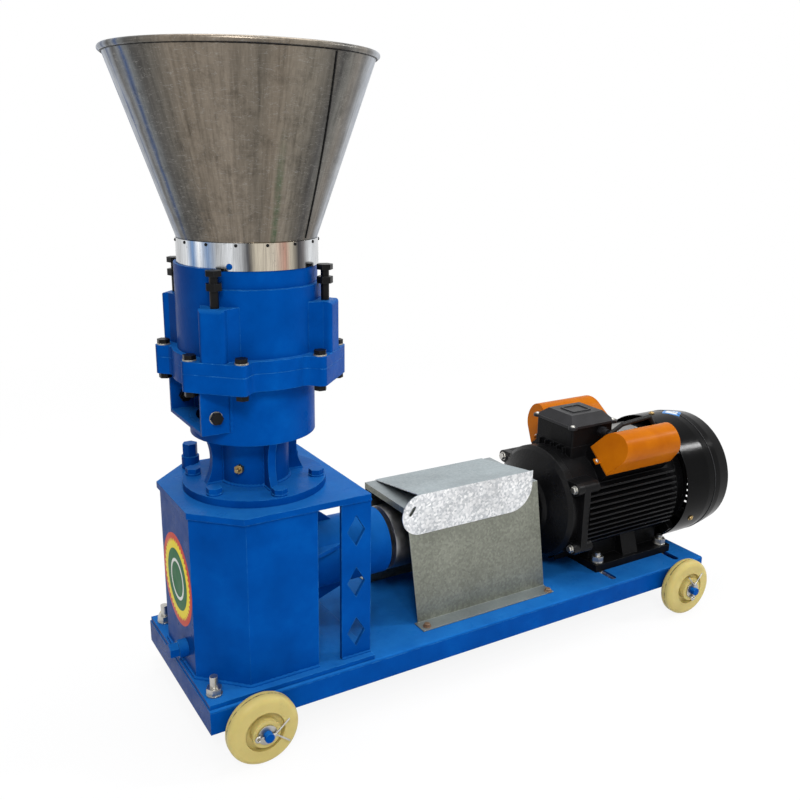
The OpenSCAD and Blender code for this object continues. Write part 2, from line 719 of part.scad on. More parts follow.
// Straight bevel teeth drawn at a given distance from the common apex
crown_n = 24;
pinion_n = 12;
gear_ratio = crown_n/pinion_n;
crown_tip_share = 2.338;
crown_root_share = 1.621;
crown_angles = [1.75, 3.1, 5.5];
pinion_tip_share = 0.577;
pinion_root_share = 0.393;
pinion_angles = [3.2, 6.2, 12.8];
crown_rim_share = 0.6;
crown_back_share = 8;
crown_front_share = 3.55;
crown_hub_share = 19;
crown_hub_h_share = 6;
crown_r = gear_m*(crown_n/2 + crown_rim_share);
crown_back = gear_m*crown_back_share;
crown_front = gear_m*crown_front_share;
crown_hub_d = gear_m*crown_hub_share;
crown_hub_h = gear_m*crown_hub_h_share;
crown_eye_r = gear_m*crown_back_share;
module teeth(n, r_root, r_pitch, r_tip, half) {
    polygon([for (k = [0:n - 1], p = [[r_root, -half[2]], [r_pitch, -half[1]], [r_tip, -half[0]],
                                      [r_tip, half[0]], [r_pitch, half[1]], [r_root, half[2]]])
        [p[0]*cos(k*360/n + p[1]), p[0]*sin(k*360/n + p[1])]]);
}
module crown_gear() color("#7d8084") at_head(drive_z - crown_back) difference() {
    union() {
        intersection() {
            rotate([0, 0, 180/crown_n]) linear_extrude(crown_back - crown_front, scale = crown_front/crown_back)
                teeth(crown_n, crown_back*crown_root_share, crown_back*gear_ratio, crown_back*crown_tip_share,
                      crown_angles);
            rod(2*crown_r, crown_back);
        }
        translate([0, 0, -crown_hub_h]) rod(crown_hub_d, crown_hub_h + cut);
    }
    translate([0, 0, crown_hub_h/2]) rod(2*crown_eye_r, crown_back);
    translate([0, 0, -crown_hub_h - cut]) rod(shaft_low_d + 2*fit, 2*crown_back);
}
ejector_r = 64;
ejector_t = 6;
ejector_lift = 14;
blade_t = 4;
blade_h = 18;
ejector_hub_d = 60;
module ejector_blades() {
    for (a = [0, 180]) rotate([0, 0, a]) translate([shaft_d/2 + play, -blade_t/2, 0])
        cube([ejector_r - shaft_d/2 - 2*play, blade_t, blade_h]);
}
module ejector_disc() color("#8c8f94") at_head(low_z + low_floor_t + ejector_lift) difference() {
    union() {
        rod(2*ejector_r, ejector_t);
        rod(ejector_hub_d, blade_h);
        ejector_blades();
    }
    translate([0, 0, -cut]) rod(shaft_d + 2*fit, 2*blade_h);
}
die_ring_shares = [0.51, 0.644, 0.779, 0.9];
die_ring_counts = [15, 20, 24, 28];
module flat_die() color("#84868b") at_head(die_z) linear_extrude(die_t) difference() {
    circle(d = die_d, $fn = 2*round_fn);
    circle(d = shaft_top_d + 2*fit, $fn = round_fn);
    for (i = [0:len(die_ring_shares) - 1], k = [1:die_ring_counts[i]]) rotate(k*360/die_ring_counts[i])
        translate([die_d/2*die_ring_shares[i], 0]) circle(d = die_hole_d, $fn = 8);
}
module die_nut() color("#6f7277") at_head(die_top) difference() {
    hex(shaft_top_d*die_nut_share, die_nut_t);
    translate([0, 0, -cut]) rod(shaft_top_d + 2*fit, die_nut_t + 2*cut);
}

// Pinion shaft, its bearings and the jaw coupling
pinion_bearing_t = 16;
pinion_bearing = [pinion_shaft_d, housing_bore, pinion_bearing_t];
pinion_bearing_in = 4;
drum_gap = 8.5;
drum_l = 52;
jaw_l = 18;
drum_x = wall_x + housing_l + drum_gap;
jaw_x = drum_x + drum_l;
motor_half_x = jaw_x + jaw_l;
motor_hub_d = 64;
shaft_out = 66;
hub_gap = 27.5;
motor_hub_l = motor_start - bell_l - hub_gap - motor_half_x;
pinion_hub_share = 10;
pinion_near_share = 8.3;
pinion_far_share = 12.4;
pinion_near = gear_m*pinion_near_share;
pinion_far = gear_m*pinion_far_share;
pinion_hub_d = gear_m*pinion_hub_share;
module pinion_shaft() color("#9a9ca0") {
    on_drive(pinion_near) linear_extrude(pinion_far - pinion_near, scale = pinion_far/pinion_near)
        teeth(pinion_n, pinion_near*pinion_root_share, pinion_near/gear_ratio, pinion_near*pinion_tip_share,
              pinion_angles);
    on_drive(pinion_far - cut/4) rod(pinion_hub_d, wall_x + pinion_bearing_in - pinion_far);
    on_drive(wall_x) rod(pinion_shaft_d, jaw_x - wall_x - cut);
}
module pinion_bearings() color("#b9bcc0") {
    on_drive(wall_x + pinion_bearing_in) bearing(pinion_bearing);
    on_drive(housing_end - pinion_bearing_in - pinion_bearing[2]) bearing(pinion_bearing);
}
jaw_angle = 20;
jaw_in_share = 0.42;
module sector(r_in, r_out, half) {
    polygon([for (a = [-half, 0, half]) [r_out*cos(a), r_out*sin(a)],
             for (a = [half, half/2, 0, -half/2, -half]) [r_in*cos(a), r_in*sin(a)]]);
}
module jaws(turn) {
    for (a = [0, 120, 240]) rotate([0, 0, a + turn]) linear_extrude(jaw_l - play + cut/2)
        sector(coupling_d/2*jaw_in_share, coupling_d/2 - play, jaw_angle);
}
module coupling_pinion_half() color("#5a5d62") on_drive(drum_x) {
    ring(coupling_d, pinion_shaft_d + 2*fit, drum_l);
    translate([0, 0, drum_l - cut/2]) jaws(0);
}
module coupling_motor_half() color("#5a5d62") on_drive(motor_half_x) {
    ring(coupling_d, motor_shaft_d + 2*fit, drum_l);
    translate([0, 0, drum_l - cut]) ring(motor_hub_d, motor_shaft_d + 2*fit, motor_hub_l - drum_l + cut);
    translate([0, 0, cut/2]) mirror([0, 0, 1]) jaws(60);
}
spider_angle = 9;
module coupling_spider() color("#a8372e") on_drive(jaw_x + play) linear_extrude(jaw_l - 2*play) difference() {
    union() {
        circle(coupling_d/2*jaw_in_share - 2*play, $fn = round_fn);
        for (a = [30:60:330]) rotate(a) sector(pinion_shaft_d/2, coupling_d/2 - 2*play, spider_angle);
    }
    circle(d = pinion_shaft_d/2, $fn = round_fn);
}

// Roller carrier on the diagonals, rollers and adjusting screws
roller_z = die_top + roller_gap + roller_d/2;
roller_axle_d = 22;
carrier_hub_d = 68;
carrier_hub_h = 31;
arm_w = 18;
arm_h = 21;
arm_r = 102;
arm_in = 1;
carrier_cap_h = 12;
carrier_drop = 12.5;
roller_turn = 45;
module carrier_hub() {
    rim_z = carrier_hub_h - carrier_drop;
    rotate_extrude($fn = round_fn)
        polygon([[0, -carrier_drop], [carrier_hub_d/2, -carrier_drop], [carrier_hub_d/2, rim_z],
                 [carrier_hub_d/6, rim_z + carrier_cap_h], [0, rim_z + carrier_cap_h]]);
}
module roller_carrier() color("#77797e") at_head(roller_z) {
    block_r = roller_mid + roller_w/2 + arm_in;
    carrier_hub();
    rotate([0, 0, roller_turn]) {
        rotate([0, 90, 0]) translate([0, 0, -block_r - arm_in]) rod(roller_axle_d, 2*(block_r + arm_in));
        for (s = [-1, 1]) translate([s*(block_r + arm_r)/2, 0, 0])
            cube([arm_r - block_r, arm_w, arm_h], center = true);
    }
    rotate([0, 0, roller_turn + 90]) cube([2*arm_r, arm_w, arm_h], center = true);
}
roller_flutes = 20;
flute_d = 4;
module roller(turn) color("#8b8e93") at_head(roller_z) rotate([0, 0, turn]) rotate([0, 90, 0])
    translate([0, 0, roller_mid - roller_w/2]) difference() {
        ring(roller_d, roller_axle_d + 2*run, roller_w);
        for (k = [1:roller_flutes]) rotate([0, 0, k*360/roller_flutes]) translate([roller_d/2, 0, -cut])
            cylinder(d = flute_d, h = roller_w + 2*cut, $fn = 6);
    }
module roller_a() roller(roller_turn);
module roller_b() roller(roller_turn + 180);
adjuster_top = up_top + seat_depth/4;
adjuster_tip = roller_z + arm_h/2;
lock_nut_gap = 20;
lock_nut_z = split_z + lug_h + lock_nut_gap;
// The flats of head and lock nut face the chamber
module adjuster(turn) color("#202024")
    at_head() rotate([0, 0, turn]) translate([screw_r, 0, 0]) rotate([0, 0, 30]) {
        translate([0, 0, adjuster_top - screw_d*head_t_share])
            hex_bolt(screw_d, adjuster_top - screw_d*head_t_share - adjuster_tip);
        translate([0, 0, lock_nut_z]) hex(screw_d*head_share, screw_d*nut_t_share);
    }
module adjuster_1() adjuster(45);
module adjuster_2() adjuster(135);
module adjuster_3() adjuster(225);
module adjuster_4() adjuster(315);

// Hopper: rolled rim, cone with a skirt inside the neck
module hopper_cone() color("#b7b3ab") at_head(joint_z) rotate_extrude($fn = round_fn) {
    r0 = neck_d/2 - sheet_t - play/2;
    r1 = rim_d/2;
    polygon([[r0, -skirt_h], [r0, 0], [r1, cone_h], [r1 - sheet_t, cone_h], [r0 - sheet_t, 0],
             [r0 - sheet_t, -skirt_h]]);
    translate([r1, cone_h]) circle(d = bead_d, $fn = 24);
}
module hopper_neck() color("#c2c2c2") at_head(neck_z) ring(neck_d, neck_d - 2*sheet_t, neck_h);

// Guard over the coupling: leaning plates with feet, top plate with a lip, lid with a front flap
guard_l = motor_start - guard_start - guard_gap;
guard_flange = 23;
guard_foot_lead = 5;
guard_back_in = 3;
guard_lip = 9;
module guard_line(grow) {
    y = guard_top_w/2 - grow;
    polygon([[-guard_w/2 + grow, -cut], [-y, guard_h - grow], [y, guard_h - grow],
             [guard_w/2 - guard_back_in - grow, -cut]]);
}
module guard_plates(grow, over) {
    x0 = guard_start - over;
    x1 = guard_start + guard_l + over;
    intersection() {
        translate([x0 - guard_lean, 0, 0]) rotate([90, 0, 90])
            linear_extrude(x1 - x0 + guard_lean) guard_line(grow);
        rotate([90, 0, 0]) translate([0, 0, -guard_w]) linear_extrude(2*guard_w)
            polygon([[x0, -over], [x1, -over], [x1 - guard_lean, guard_h + over],
                     [x0 - guard_lean, guard_h + over]]);
    }
}
module guard_body() color("#a9aeb0") at_head(deck_z) {
    difference() {
        guard_plates(0, 0);
        guard_plates(guard_t, cut);
    }
    for (y = [-guard_w/2 - guard_flange, guard_w/2 - guard_back_in - guard_t])
        translate([guard_start - guard_foot_lead, y, 0])
            cube([guard_l + guard_foot_lead, guard_flange + guard_t, guard_t]);
    translate([guard_start - guard_lean, 0, 0]) rotate([90, 0, 90]) linear_extrude(guard_t) intersection() {
        guard_line(guard_t/2);
        translate([-guard_w/2, guard_h - guard_lip]) square([guard_w, guard_lip]);
    }
}
lid_l = guard_l - lid_short;
lid_lag = 4;
lid_start = guard_start + lid_lag;
lid_drop = lid_h - guard_h - guard_t;
flap_over = 27;
flap_round = 38;
flap_lap = 4;
flap_y = -guard_w/2 + (guard_w - guard_top_w)/2*(lid_h - flap_h)/guard_h;
slot_w = 5;
slot_l = 16;
slot_in = 16;
slot_share = 0.62;
module guard_lid() color("#b9bdbe") at_head(deck_z) {
    y0 = flap_y - guard_t;
    y1 = guard_top_w/2;
    w = lid_l + flap_over + flap_lap;
    translate([lid_start, 0, 0]) rotate([90, 0, 90]) linear_extrude(lid_l)
        polygon([[y0, lid_h], [y0, lid_h - guard_t], [y1, lid_h - lid_drop - guard_t], [y1, lid_h - lid_drop]]);
    translate([lid_start - flap_over, flap_y, lid_h - flap_h]) rotate([90, 0, 0]) linear_extrude(guard_t)
        difference() {
            union() {
                translate([flap_h/2, 0]) square([w - flap_h/2 - flap_round, flap_h]);
                translate([flap_h/2, flap_h/2]) circle(d = flap_h, $fn = round_fn);
                translate([w - flap_round - cut, flap_round]) square([flap_round + cut, flap_h - flap_round]);
                translate([w - flap_round, flap_round]) circle(flap_round, $fn = round_fn);
            }
            translate([slot_in, flap_h*slot_share]) rotate(-35) slot_y(slot_w, slot_l);
            translate([0, flap_h]) square([w, flap_h]);
        }
}

// Motor: finned frame with foot, bells, stator, rotor, fan and cover
frame_r = barrel_d/2;
foot_edge = 12;
foot_end = 12.5;
foot_w = foot_pitch_y + 2*foot_edge;
foot_l = foot_pitch_x + 2*foot_end;
foot_t = 12;
web_in = 22;
foot_rib_w = 32;
foot_rib_out = 4;
foot_rib_in = 8;
foot_rib_h = 45;
foot_rib_low = foot_pitch_y/2 + foot_rib_out;
foot_rib_top = foot_pitch_y/2 - foot_rib_in;
fin_t = 2.4;
plate_l = 12;
fin_pitch = 8.6;
top_fin_pitch = 14;
low_block_l = 24;
up_block_l = 30;
ear_y = 88;
ear_z = 48;
ear_r = 10;
pad_h = 96;
cap_turn = 48;
cap_w = 52;
cap_l = 127;
cap_seat = 105;
cap_crown = 162;
cap_start = 55;
cap_t = 2.5;
cap_foot = 6;
cap_slope = 15;
module fin_outline() {
    intersection() {
        circle(d = fin_d, $fn = 2*round_fn);
        union() {
            for (k = [0:fin_n - 1]) translate([-fin_d, (k - (fin_n - 1)/2)*fin_pitch - fin_t/2])
                square([2*fin_d, fin_t]);
            for (k = [-2:2]) translate([k*top_fin_pitch - fin_t/2, -fin_d/2])
                square([fin_t, fin_d/2 + pad_h - fin_t]);
        }
    }
}
module cap_boss_outline() {
    for (a = [cap_turn, 180 - cap_turn]) rotate(a) translate([0, -cap_w/2]) square([cap_seat, cap_w]);
}
module motor_frame() color("#26272a") at_head(drive_z) difference() {
    union() {
        translate([motor_start, 0, 0]) rotate([90, 0, 90]) {
            linear_extrude(frame_l) circle(frame_r, $fn = 2*round_fn);
            translate([0, 0, plate_l]) linear_extrude(frame_l - 2*plate_l) fin_outline();
            translate([0, 0, cap_start - cap_foot]) linear_extrude(cap_l + 2*cap_foot) cap_boss_outline();
            for (sy = [-1, 1], sz = [-1, 1]) translate([sy*ear_y, sz*ear_z, 0])
                linear_extrude(sz > 0 ? up_block_l : low_block_l) {
                    circle(ear_r, $fn = round_fn);
                    translate([sy > 0 ? -3*ear_r : 0, -ear_r]) square([3*ear_r, 2*ear_r]);
                }
            for (sy = [-1, 1]) translate([sy*ear_y - ear_r, -ear_z, 0]) cube([2*ear_r, 2*ear_z, plate_l]);
        }
        translate([term_x - term_w/2, -term_w/2, 0]) cube([term_w, term_w, pad_h]);
        translate([foot_mid - foot_l/2, -foot_w/2, -drive_h]) cube([foot_l, foot_w, foot_t]);
        for (s = [-1, 1]) translate([2*foot_mid - frame_end, s*(foot_pitch_y/2 - web_in) - foot_t/2, -drive_h])
            cube([2*(frame_end - foot_mid), foot_t, drive_h/2]);
        translate([foot_mid - foot_rib_w/2, 0, -drive_h]) rotate([90, 0, 90]) linear_extrude(foot_rib_w)
            polygon([[-foot_rib_low, foot_t - cut/4], [foot_rib_low, foot_t - cut/4],
                     [foot_rib_top, foot_rib_h], [foot_rib_top/2, drive_h/2],
                     [-foot_rib_top/2, drive_h/2], [-foot_rib_top, foot_rib_h]]);
    }
    on_frame() rod(2*(frame_r - barrel_wall), frame_l + 2*cut);
    for (sx = [-1, 1], sy = [-1, 1])
        translate([foot_mid + sx*foot_pitch_x/2, sy*foot_pitch_y/2, -drive_h - cut])
            rod(foot_bolt_d + 2*fit, foot_t + 2*cut);
    for (sy = [-1, 1], sz = [-1, 1]) translate([motor_start - cut, sy*ear_y, sz*ear_z]) rotate([0, 90, 0])
        rod(bell_screw_d + 2*fit, low_block_l*bell_screw_share);
}
module on_frame() {
    translate([motor_start - cut, 0, 0]) rotate([0, 90, 0]) children();
}
foot_bolt_d = 10;
bell_screw_d = 6;
bell_screw_share = 0.8;
term_x = motor_start + 60;
bell_nose_d = 96;
bell_lip = 6;
bell_wall = 5;
motor_bearing_bore = 30;
motor_bearing_d = 62;
motor_bearing_t = 16;
motor_bearing = [motor_bearing_bore, motor_bearing_d, motor_bearing_t];
bell_step = 2;
bell_d = 2*frame_r + 2*bell_step;
bell_shares = [0.55, 0.7];
module bell_front() {
    // nose at z = 0, joint face at z = bell_l
    z1 = bell_l*bell_shares[0];
    z2 = bell_l*bell_shares[1];
    back = bell_wall + motor_bearing[2];
    difference() {
        union() {
            rotate_extrude($fn = 2*round_fn)
                polygon([[0, 0], [bell_nose_d/2, 0], [bell_nose_d/2 + bell_wall, bell_wall],
                         [bell_d/2 - bell_lip, z1], [bell_d/2, z2], [bell_d/2, bell_l], [0, bell_l]]);
            for (sy = [-1, 1], sz = [-1, 1]) translate([sz*ear_z, sy*ear_y, z2]) linear_extrude(bell_l - z2) {
                circle(ear_r, $fn = round_fn);
                translate([-ear_r, sy > 0 ? -3*ear_r : 0]) square([2*ear_r, 3*ear_r]);
            }
        }
        rotate_extrude($fn = 2*round_fn) polygon([[0, back], [bell_nose_d/2 - bell_wall, back],
            [bell_d/2 - 2*bell_lip, z2], [bell_d/2 - 2*bell_lip, bell_l + cut], [0, bell_l + cut]]);
        translate([0, 0, bell_wall]) rod(motor_bearing[1] + 2*fit, bell_l);
        translate([0, 0, -cut]) rod(motor_shaft_d + 4*play + shaft_stub, bell_l);
        for (sy = [-1, 1], sz = [-1, 1]) translate([sz*ear_z, sy*ear_y, 0])
            rod(bell_screw_d + 2*fit, bell_l + cut);
    }
}
module motor_bell_front() color("#1d1e20") on_drive(motor_start - bell_l) bell_front();
rear_lug_h = 4;
module motor_bell_rear() color("#1d1e20") on_drive(frame_end) difference() {
    union() {
        rod(bell_d, rear_l);
        intersection() {
            for (a = [45:90:315]) rotate([0, 0, a]) translate([bell_d/2 - ear_r, -ear_r, rear_lug_h/2])
                cube([3*ear_r, 2*ear_r, rear_l - rear_lug_h]);
            rod(fan_cover_d - 2*cover_t - 2*fit, rear_l);
        }
    }
    translate([0, 0, -cut]) rod(motor_bearing[1] + 2*fit, rear_l - rear_lug_h + cut);
    translate([0, 0, -cut]) rod(motor_shaft_d + 4*play, 2*rear_l);
}
stator_l = 120;
stator_bore = 104;
air_gap = 0.5;
coil_l = 22;
stator_in = 45;
module stator() color("#8f5a33") on_drive(motor_start + stator_in) {
    ring(2*(frame_r - barrel_wall), stator_bore, stator_l);
    for (z = [-coil_l, stator_l - cut]) translate([0, 0, z])
        ring(2*(frame_r - 3*barrel_wall), stator_bore + barrel_wall, coil_l + cut);
}
module rotor() color("#a5a7aa") {
    on_drive(motor_start - bell_l - shaft_out) rod(motor_shaft_d, bell_l + shaft_out);
    on_drive(motor_start - bell_l + bell_wall - play)
        rod(motor_bearing_bore, bell_l - bell_wall + frame_l + rear_l - rear_lug_h);
    on_drive(motor_start + stator_in) rod(stator_bore - 2*air_gap, stator_l);
    on_drive(frame_end) rod(motor_shaft_d, rear_l + fan_gap + fan_l);
}
module motor_bearings() color("#b9bcc0") {
    on_drive(motor_start - bell_l + bell_wall) bearing(motor_bearing);
    on_drive(frame_end + rear_l - rear_lug_h - motor_bearing[2]) bearing(motor_bearing);
}
fan_gap = 12;
fan_l = 30;
fan_d = 170;
fan_n = 7;
fan_disc_t = 3;
fan_root_share = 0.7;
fan_hub_share = 1.7;
module cooling_fan() color("#3a3c40") on_drive(frame_end + rear_l + fan_gap) difference() {
    union() {
        rod(fan_d, fan_disc_t);
        rod(motor_shaft_d*fan_hub_share, fan_l);
        for (k = [1:fan_n]) rotate([0, 0, k*360/fan_n])
            translate([motor_shaft_d*fan_root_share, -fan_disc_t/2, fan_disc_t/2])
                cube([fan_d/2 - motor_shaft_d*fan_root_share - fan_disc_t, fan_disc_t, fan_l - fan_disc_t]);
    }
    translate([0, 0, -cut]) rod(motor_shaft_d + 2*fit, fan_l + 2*cut);
}
cover_t = 1.5;
cover_shares = [0.455, 0.71, 0.93, 1];
cover_in_1 = 2;
cover_in_2 = 6.5;
cover_in_3 = 18;
grille_t = 4;
grille_pitch = 11;
grille_shares = [0.2, 0.72];
module cover_profile(grow) {
    r = fan_cover_d/2 - grow;
    l = fan_cover_l;
    polygon([[0, 0], [r, 0], [r, l*cover_shares[0]], [r - cover_in_1, l*cover_shares[1]],
             [r - cover_in_2, l*cover_shares[2]], [r - cover_in_3, l - grow], [0, l - grow]]);
}
module fan_cover() color("#141416") on_drive(cover_start) difference() {
    rotate_extrude($fn = 2*round_fn) difference() {
        cover_profile(0);
        cover_profile(cover_t);
    }
    translate([0, 0, -cut]) rod(fan_cover_d - 2*cover_t, 2*cut);
    intersection() {
        translate([0, 0, fan_cover_l - 2*cover_t]) linear_extrude(4*cover_t)
            for (k = [-6:6]) translate([k*grille_pitch - grille_t/2, -fan_cover_d/2])
                square([grille_t, fan_cover_d]);
        translate([0, 0, fan_cover_l/2])
            ring(fan_cover_d*grille_shares[1], fan_cover_d*grille_shares[0], fan_cover_l);
    }
}

// Terminal box, lid, capacitors, their covers and the lead
term_wall = 3;
term_base_h = term_h - pad_h;
lid_side = 90;
lid_rim_t = 4;
lid_rise = 13;
lid_top_l = 64;
lid_top_w = 54;
lid_frame_share = 0.6;
lid_ear = 7;
lid_ear_at = lid_side/2 - lid_ear/2;
lid_frame_t = 1.5;
gland_d = 15;
gland_stem_d = 9;
gland_step = 2;
gland_l = 17;
gland_x = term_x + term_w/5;
gland_drop = 11;
gland_z = term_h - gland_drop;
module terminal_box() color("#1f2022") at_head(drive_z) difference() {
    translate([term_x, 0, pad_h]) linear_extrude(term_base_h) round_rect(term_w, term_w, term_wall);
    translate([term_x, 0, pad_h + term_wall]) linear_extrude(term_base_h)
        round_rect(term_w - 2*term_wall, term_w - 2*term_wall, term_wall/2);
    translate([gland_x, -term_w/2 - cut, gland_z]) rotate([-90, 0, 0])
        rod(gland_stem_d + 2*fit, term_wall + 2*cut);
}
module terminal_lid() color("#2a2b2e") at_head(drive_z + term_h) translate([term_x, 0, 0]) {
    linear_extrude(lid_rim_t) {
        round_rect(lid_side, lid_side, term_wall);
        for (sx = [-1, 1], sy = [-1, 1]) translate([sx*lid_ear_at, sy*lid_ear_at])
            circle(lid_ear, $fn = round_fn/2);
    }
    translate([0, 0, lid_rim_t - cut/4]) intersection() {
        rotate([90, 0, 0]) translate([0, 0, -lid_side]) linear_extrude(2*lid_side)
            polygon([[-lid_side/2 + lid_frame_t, 0], [lid_side/2 - lid_frame_t, 0], [lid_top_l/2, lid_rise],
                     [-lid_top_l/2, lid_rise]]);
        rotate([90, 0, 90]) translate([0, 0, -lid_side]) linear_extrude(2*lid_side)
            polygon([[-lid_side/2 + lid_frame_t, 0], [lid_side/2 - lid_frame_t, 0], [lid_top_w/2, lid_rise],
                     [-lid_top_w/2, lid_rise]]);
    }
    translate([0, 0, lid_rim_t + lid_rise - cut/2]) linear_extrude(lid_frame_t + cut/4) difference() {
        l = lid_top_l*lid_frame_share;
        w = lid_top_w*lid_frame_share;
        round_rect(l, w, term_wall);
        round_rect(l - 4*lid_frame_t, w - 4*lid_frame_t, term_wall);
    }
}
// Places a shape drawn with +Z along X and +X along the capacitor's slant
module on_cap(s, x) {
    at_head(drive_z) translate([x, 0, 0]) rotate([90, 0, 90])
        rotate([0, 0, s > 0 ? cap_turn : 180 - cap_turn]) children();
}
module cap_outline(grow) {
    r = cap_w/2 - grow;
    u = cap_seat - (grow > 0 ? cut : 0);
    translate([u, -r]) square([cap_crown - cap_w/2 - u, 2*r]);
    translate([cap_crown - cap_w/2, 0]) circle(r, $fn = round_fn);
}
cap_ear_l = 9;
// Side of the cover with sloping ends, x along the slant and y along the motor
module cap_side() {
    z = cap_slope - cap_foot;
    polygon([[cap_seat, -cap_foot], [cap_seat + cap_t, -cap_foot], [cap_crown + cut, z],
             [cap_crown + cut, cap_l - z], [cap_seat + cap_t, cap_l + cap_foot], [cap_seat, cap_l + cap_foot]]);
}
module cap_inner_side() {
    z = cap_slope - cap_foot + cap_t;
    polygon([[cap_seat - cut, cap_t], [cap_seat, cap_t], [cap_crown, z], [cap_crown, cap_l - z],
             [cap_seat, cap_l - cap_t], [cap_seat - cut, cap_l - cap_t]]);
}
module cap_body(grow) {
    intersection() {
        translate([0, 0, -cap_l]) linear_extrude(3*cap_l) cap_outline(grow);
        rotate([90, 0, 0]) translate([0, 0, -cap_w]) linear_extrude(2*cap_w) {
            if (grow > 0) cap_inner_side();
            else cap_side();
        }
    }
}
module capacitor_covers() color("#d9771e") for (s = [-1, 1]) on_cap(s, motor_start + cap_start) {
    difference() {
        cap_body(0);
        cap_body(cap_t);
    }
    for (z = [-cap_foot - cap_ear_l + cut/4, cap_l + cap_foot - cut/4])
        translate([cap_seat, -cap_ear_l/2, z]) cube([cap_t, cap_ear_l, cap_ear_l]);
}
capacitor_d = 42;
capacitor_l = 88;
module capacitors() color("#c9cbcc") for (s = [-1, 1])
    on_cap(s, motor_start + cap_start + (cap_l - capacitor_l)/2)
        translate([cap_seat + capacitor_d/2, 0, 0]) rod(capacitor_d, capacitor_l);
lead_d = 7;
lead_swell = 0.2;
module pipe(points, d) {
    for (i = [0:len(points) - 2]) {
        v = points[i + 1] - points[i];
        l = norm(v);
        translate(points[i]) rotate([0, acos(v.z/l), atan2(v.y, v.x)]) rod(d, l);
        translate(points[i]) sphere(d = d + 2*lead_swell, $fn = 24);
    }
    translate(points[len(points) - 1]) sphere(d = d + 2*lead_swell, $fn = 24);
}
lead_rise = 3;
lead_y = -term_w/2 - gland_l;
lead_steps = [[0, lead_rise, 0], [0, -lead_rise, 0], [3*lead_d, -lead_d, 2*lead_d],
              [12*lead_d, -lead_d/2, 2*lead_d + lead_rise], [13*lead_d, -lead_d, lead_d - lead_rise]];
module capacitor_lead() color("#1a1a1c") at_head(drive_z)
    pipe([for (p = lead_steps) [gland_x + p.x, lead_y + p.y, gland_z + p.z]], lead_d);
module cable_glands() color("#161618") at_head(drive_z) {
    translate([gland_x, -term_w/2, gland_z]) rotate([90, 0, 0]) difference() {
        union() {
            translate([0, 0, -term_wall]) rod(gland_stem_d, term_wall + cut);
            hex(gland_d, gland_l/2);
            rod(gland_d - gland_step, gland_l);
        }
        translate([0, 0, gland_l/2]) rod(lead_d + 2*lead_swell + 2*fit, gland_l);
    }
}
module foot_fasteners() color("#c9c9c4") for (sx = [-1, 1], sy = [-1, 1])
    at_head(deck_z) translate([foot_mid + sx*foot_pitch_x/2, sy*foot_pitch_y/2, foot_t]) {
        washer(foot_bolt_d);
        translate([0, 0, foot_bolt_d*washer_t_share]) hex_nut(foot_bolt_d);
        translate([0, 0, -foot_t - deck_t - foot_bolt_d*washer_t_share]) {
            washer(foot_bolt_d);
            translate([0, 0, -foot_bolt_d*head_t_share]) hex(foot_bolt_d*head_share, foot_bolt_d*head_t_share);
            translate([0, 0, -cut/4]) rod(foot_bolt_d, foot_t + deck_t + foot_bolt_d*foot_stud_share);
        }
    }

// Every named piece
deck_plate();
side_rails();
end_rails();
axles();
wheel_near_left();
wheel_near_right();
wheel_far_left();
wheel_far_right();
wheel_retainers();
base_plate();
base_fasteners();
gearbox_shell();
top_plate();
pierced_posts();
pinion_housing();
oil_plugs();
column();
column_bolts();
grease_nipple();
lower_chamber();
discharge_chute();
upper_chamber();
chamber_fasteners();
main_shaft();
crown_gear();
shaft_bearings();
ejector_disc();
flat_die();
die_nut();
pinion_shaft();
pinion_bearings();
coupling_pinion_half();
coupling_motor_half();
coupling_spider();
roller_carrier();
roller_a();
roller_b();
adjuster_1();
adjuster_2();
adjuster_3();
adjuster_4();
hopper_cone();
hopper_neck();
guard_body();
guard_lid();
motor_frame();
motor_bell_front();
motor_bell_rear();
stator();
rotor();
motor_bearings();
cooling_fan();
fan_cover();
terminal_box();
terminal_lid();
capacitor_covers();
capacitors();
capacitor_lead();
cable_glands();
foot_fasteners();
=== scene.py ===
import json
import math
import random

import bmesh
import bpy
from mathutils import Matrix, Vector


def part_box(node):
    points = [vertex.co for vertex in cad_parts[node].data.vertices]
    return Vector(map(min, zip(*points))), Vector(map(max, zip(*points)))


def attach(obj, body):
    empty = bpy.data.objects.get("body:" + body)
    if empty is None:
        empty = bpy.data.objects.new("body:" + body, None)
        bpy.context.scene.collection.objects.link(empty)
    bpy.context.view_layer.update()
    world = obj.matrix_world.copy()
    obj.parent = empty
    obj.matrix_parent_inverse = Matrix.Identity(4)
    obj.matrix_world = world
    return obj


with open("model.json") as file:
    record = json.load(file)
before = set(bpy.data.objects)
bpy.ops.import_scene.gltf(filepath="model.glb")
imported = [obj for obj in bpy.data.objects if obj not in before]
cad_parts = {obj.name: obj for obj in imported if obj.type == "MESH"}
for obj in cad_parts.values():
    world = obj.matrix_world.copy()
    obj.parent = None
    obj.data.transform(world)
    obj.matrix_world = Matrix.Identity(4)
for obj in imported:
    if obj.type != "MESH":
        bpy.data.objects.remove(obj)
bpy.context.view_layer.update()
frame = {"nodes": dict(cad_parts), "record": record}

nodes = frame["nodes"]
random.seed(7)

# Places, in metres, read from the frame
MM = 0.001
neck_low, neck_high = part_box("hopper_neck")
cone_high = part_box("hopper_cone")[1]
deck_low, deck_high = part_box("deck_plate")
box_low, box_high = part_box("gearbox_shell")
house_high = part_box("pinion_housing")[1]
bell_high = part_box("motor_bell_front")[1]
cover_low, cover_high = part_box("fan_cover")
rotor_low, rotor_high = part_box("rotor")
lid_low, lid_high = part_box("terminal_lid")
wheel_low, wheel_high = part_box("wheel_far_left")
HEAD_X = (neck_low.x + neck_high.x) / 2
DRIVE_Z = (rotor_low.z + rotor_high.z) / 2
DECK_Z = deck_high.z
WHEEL_Y = (wheel_low.y + wheel_high.y) / 2


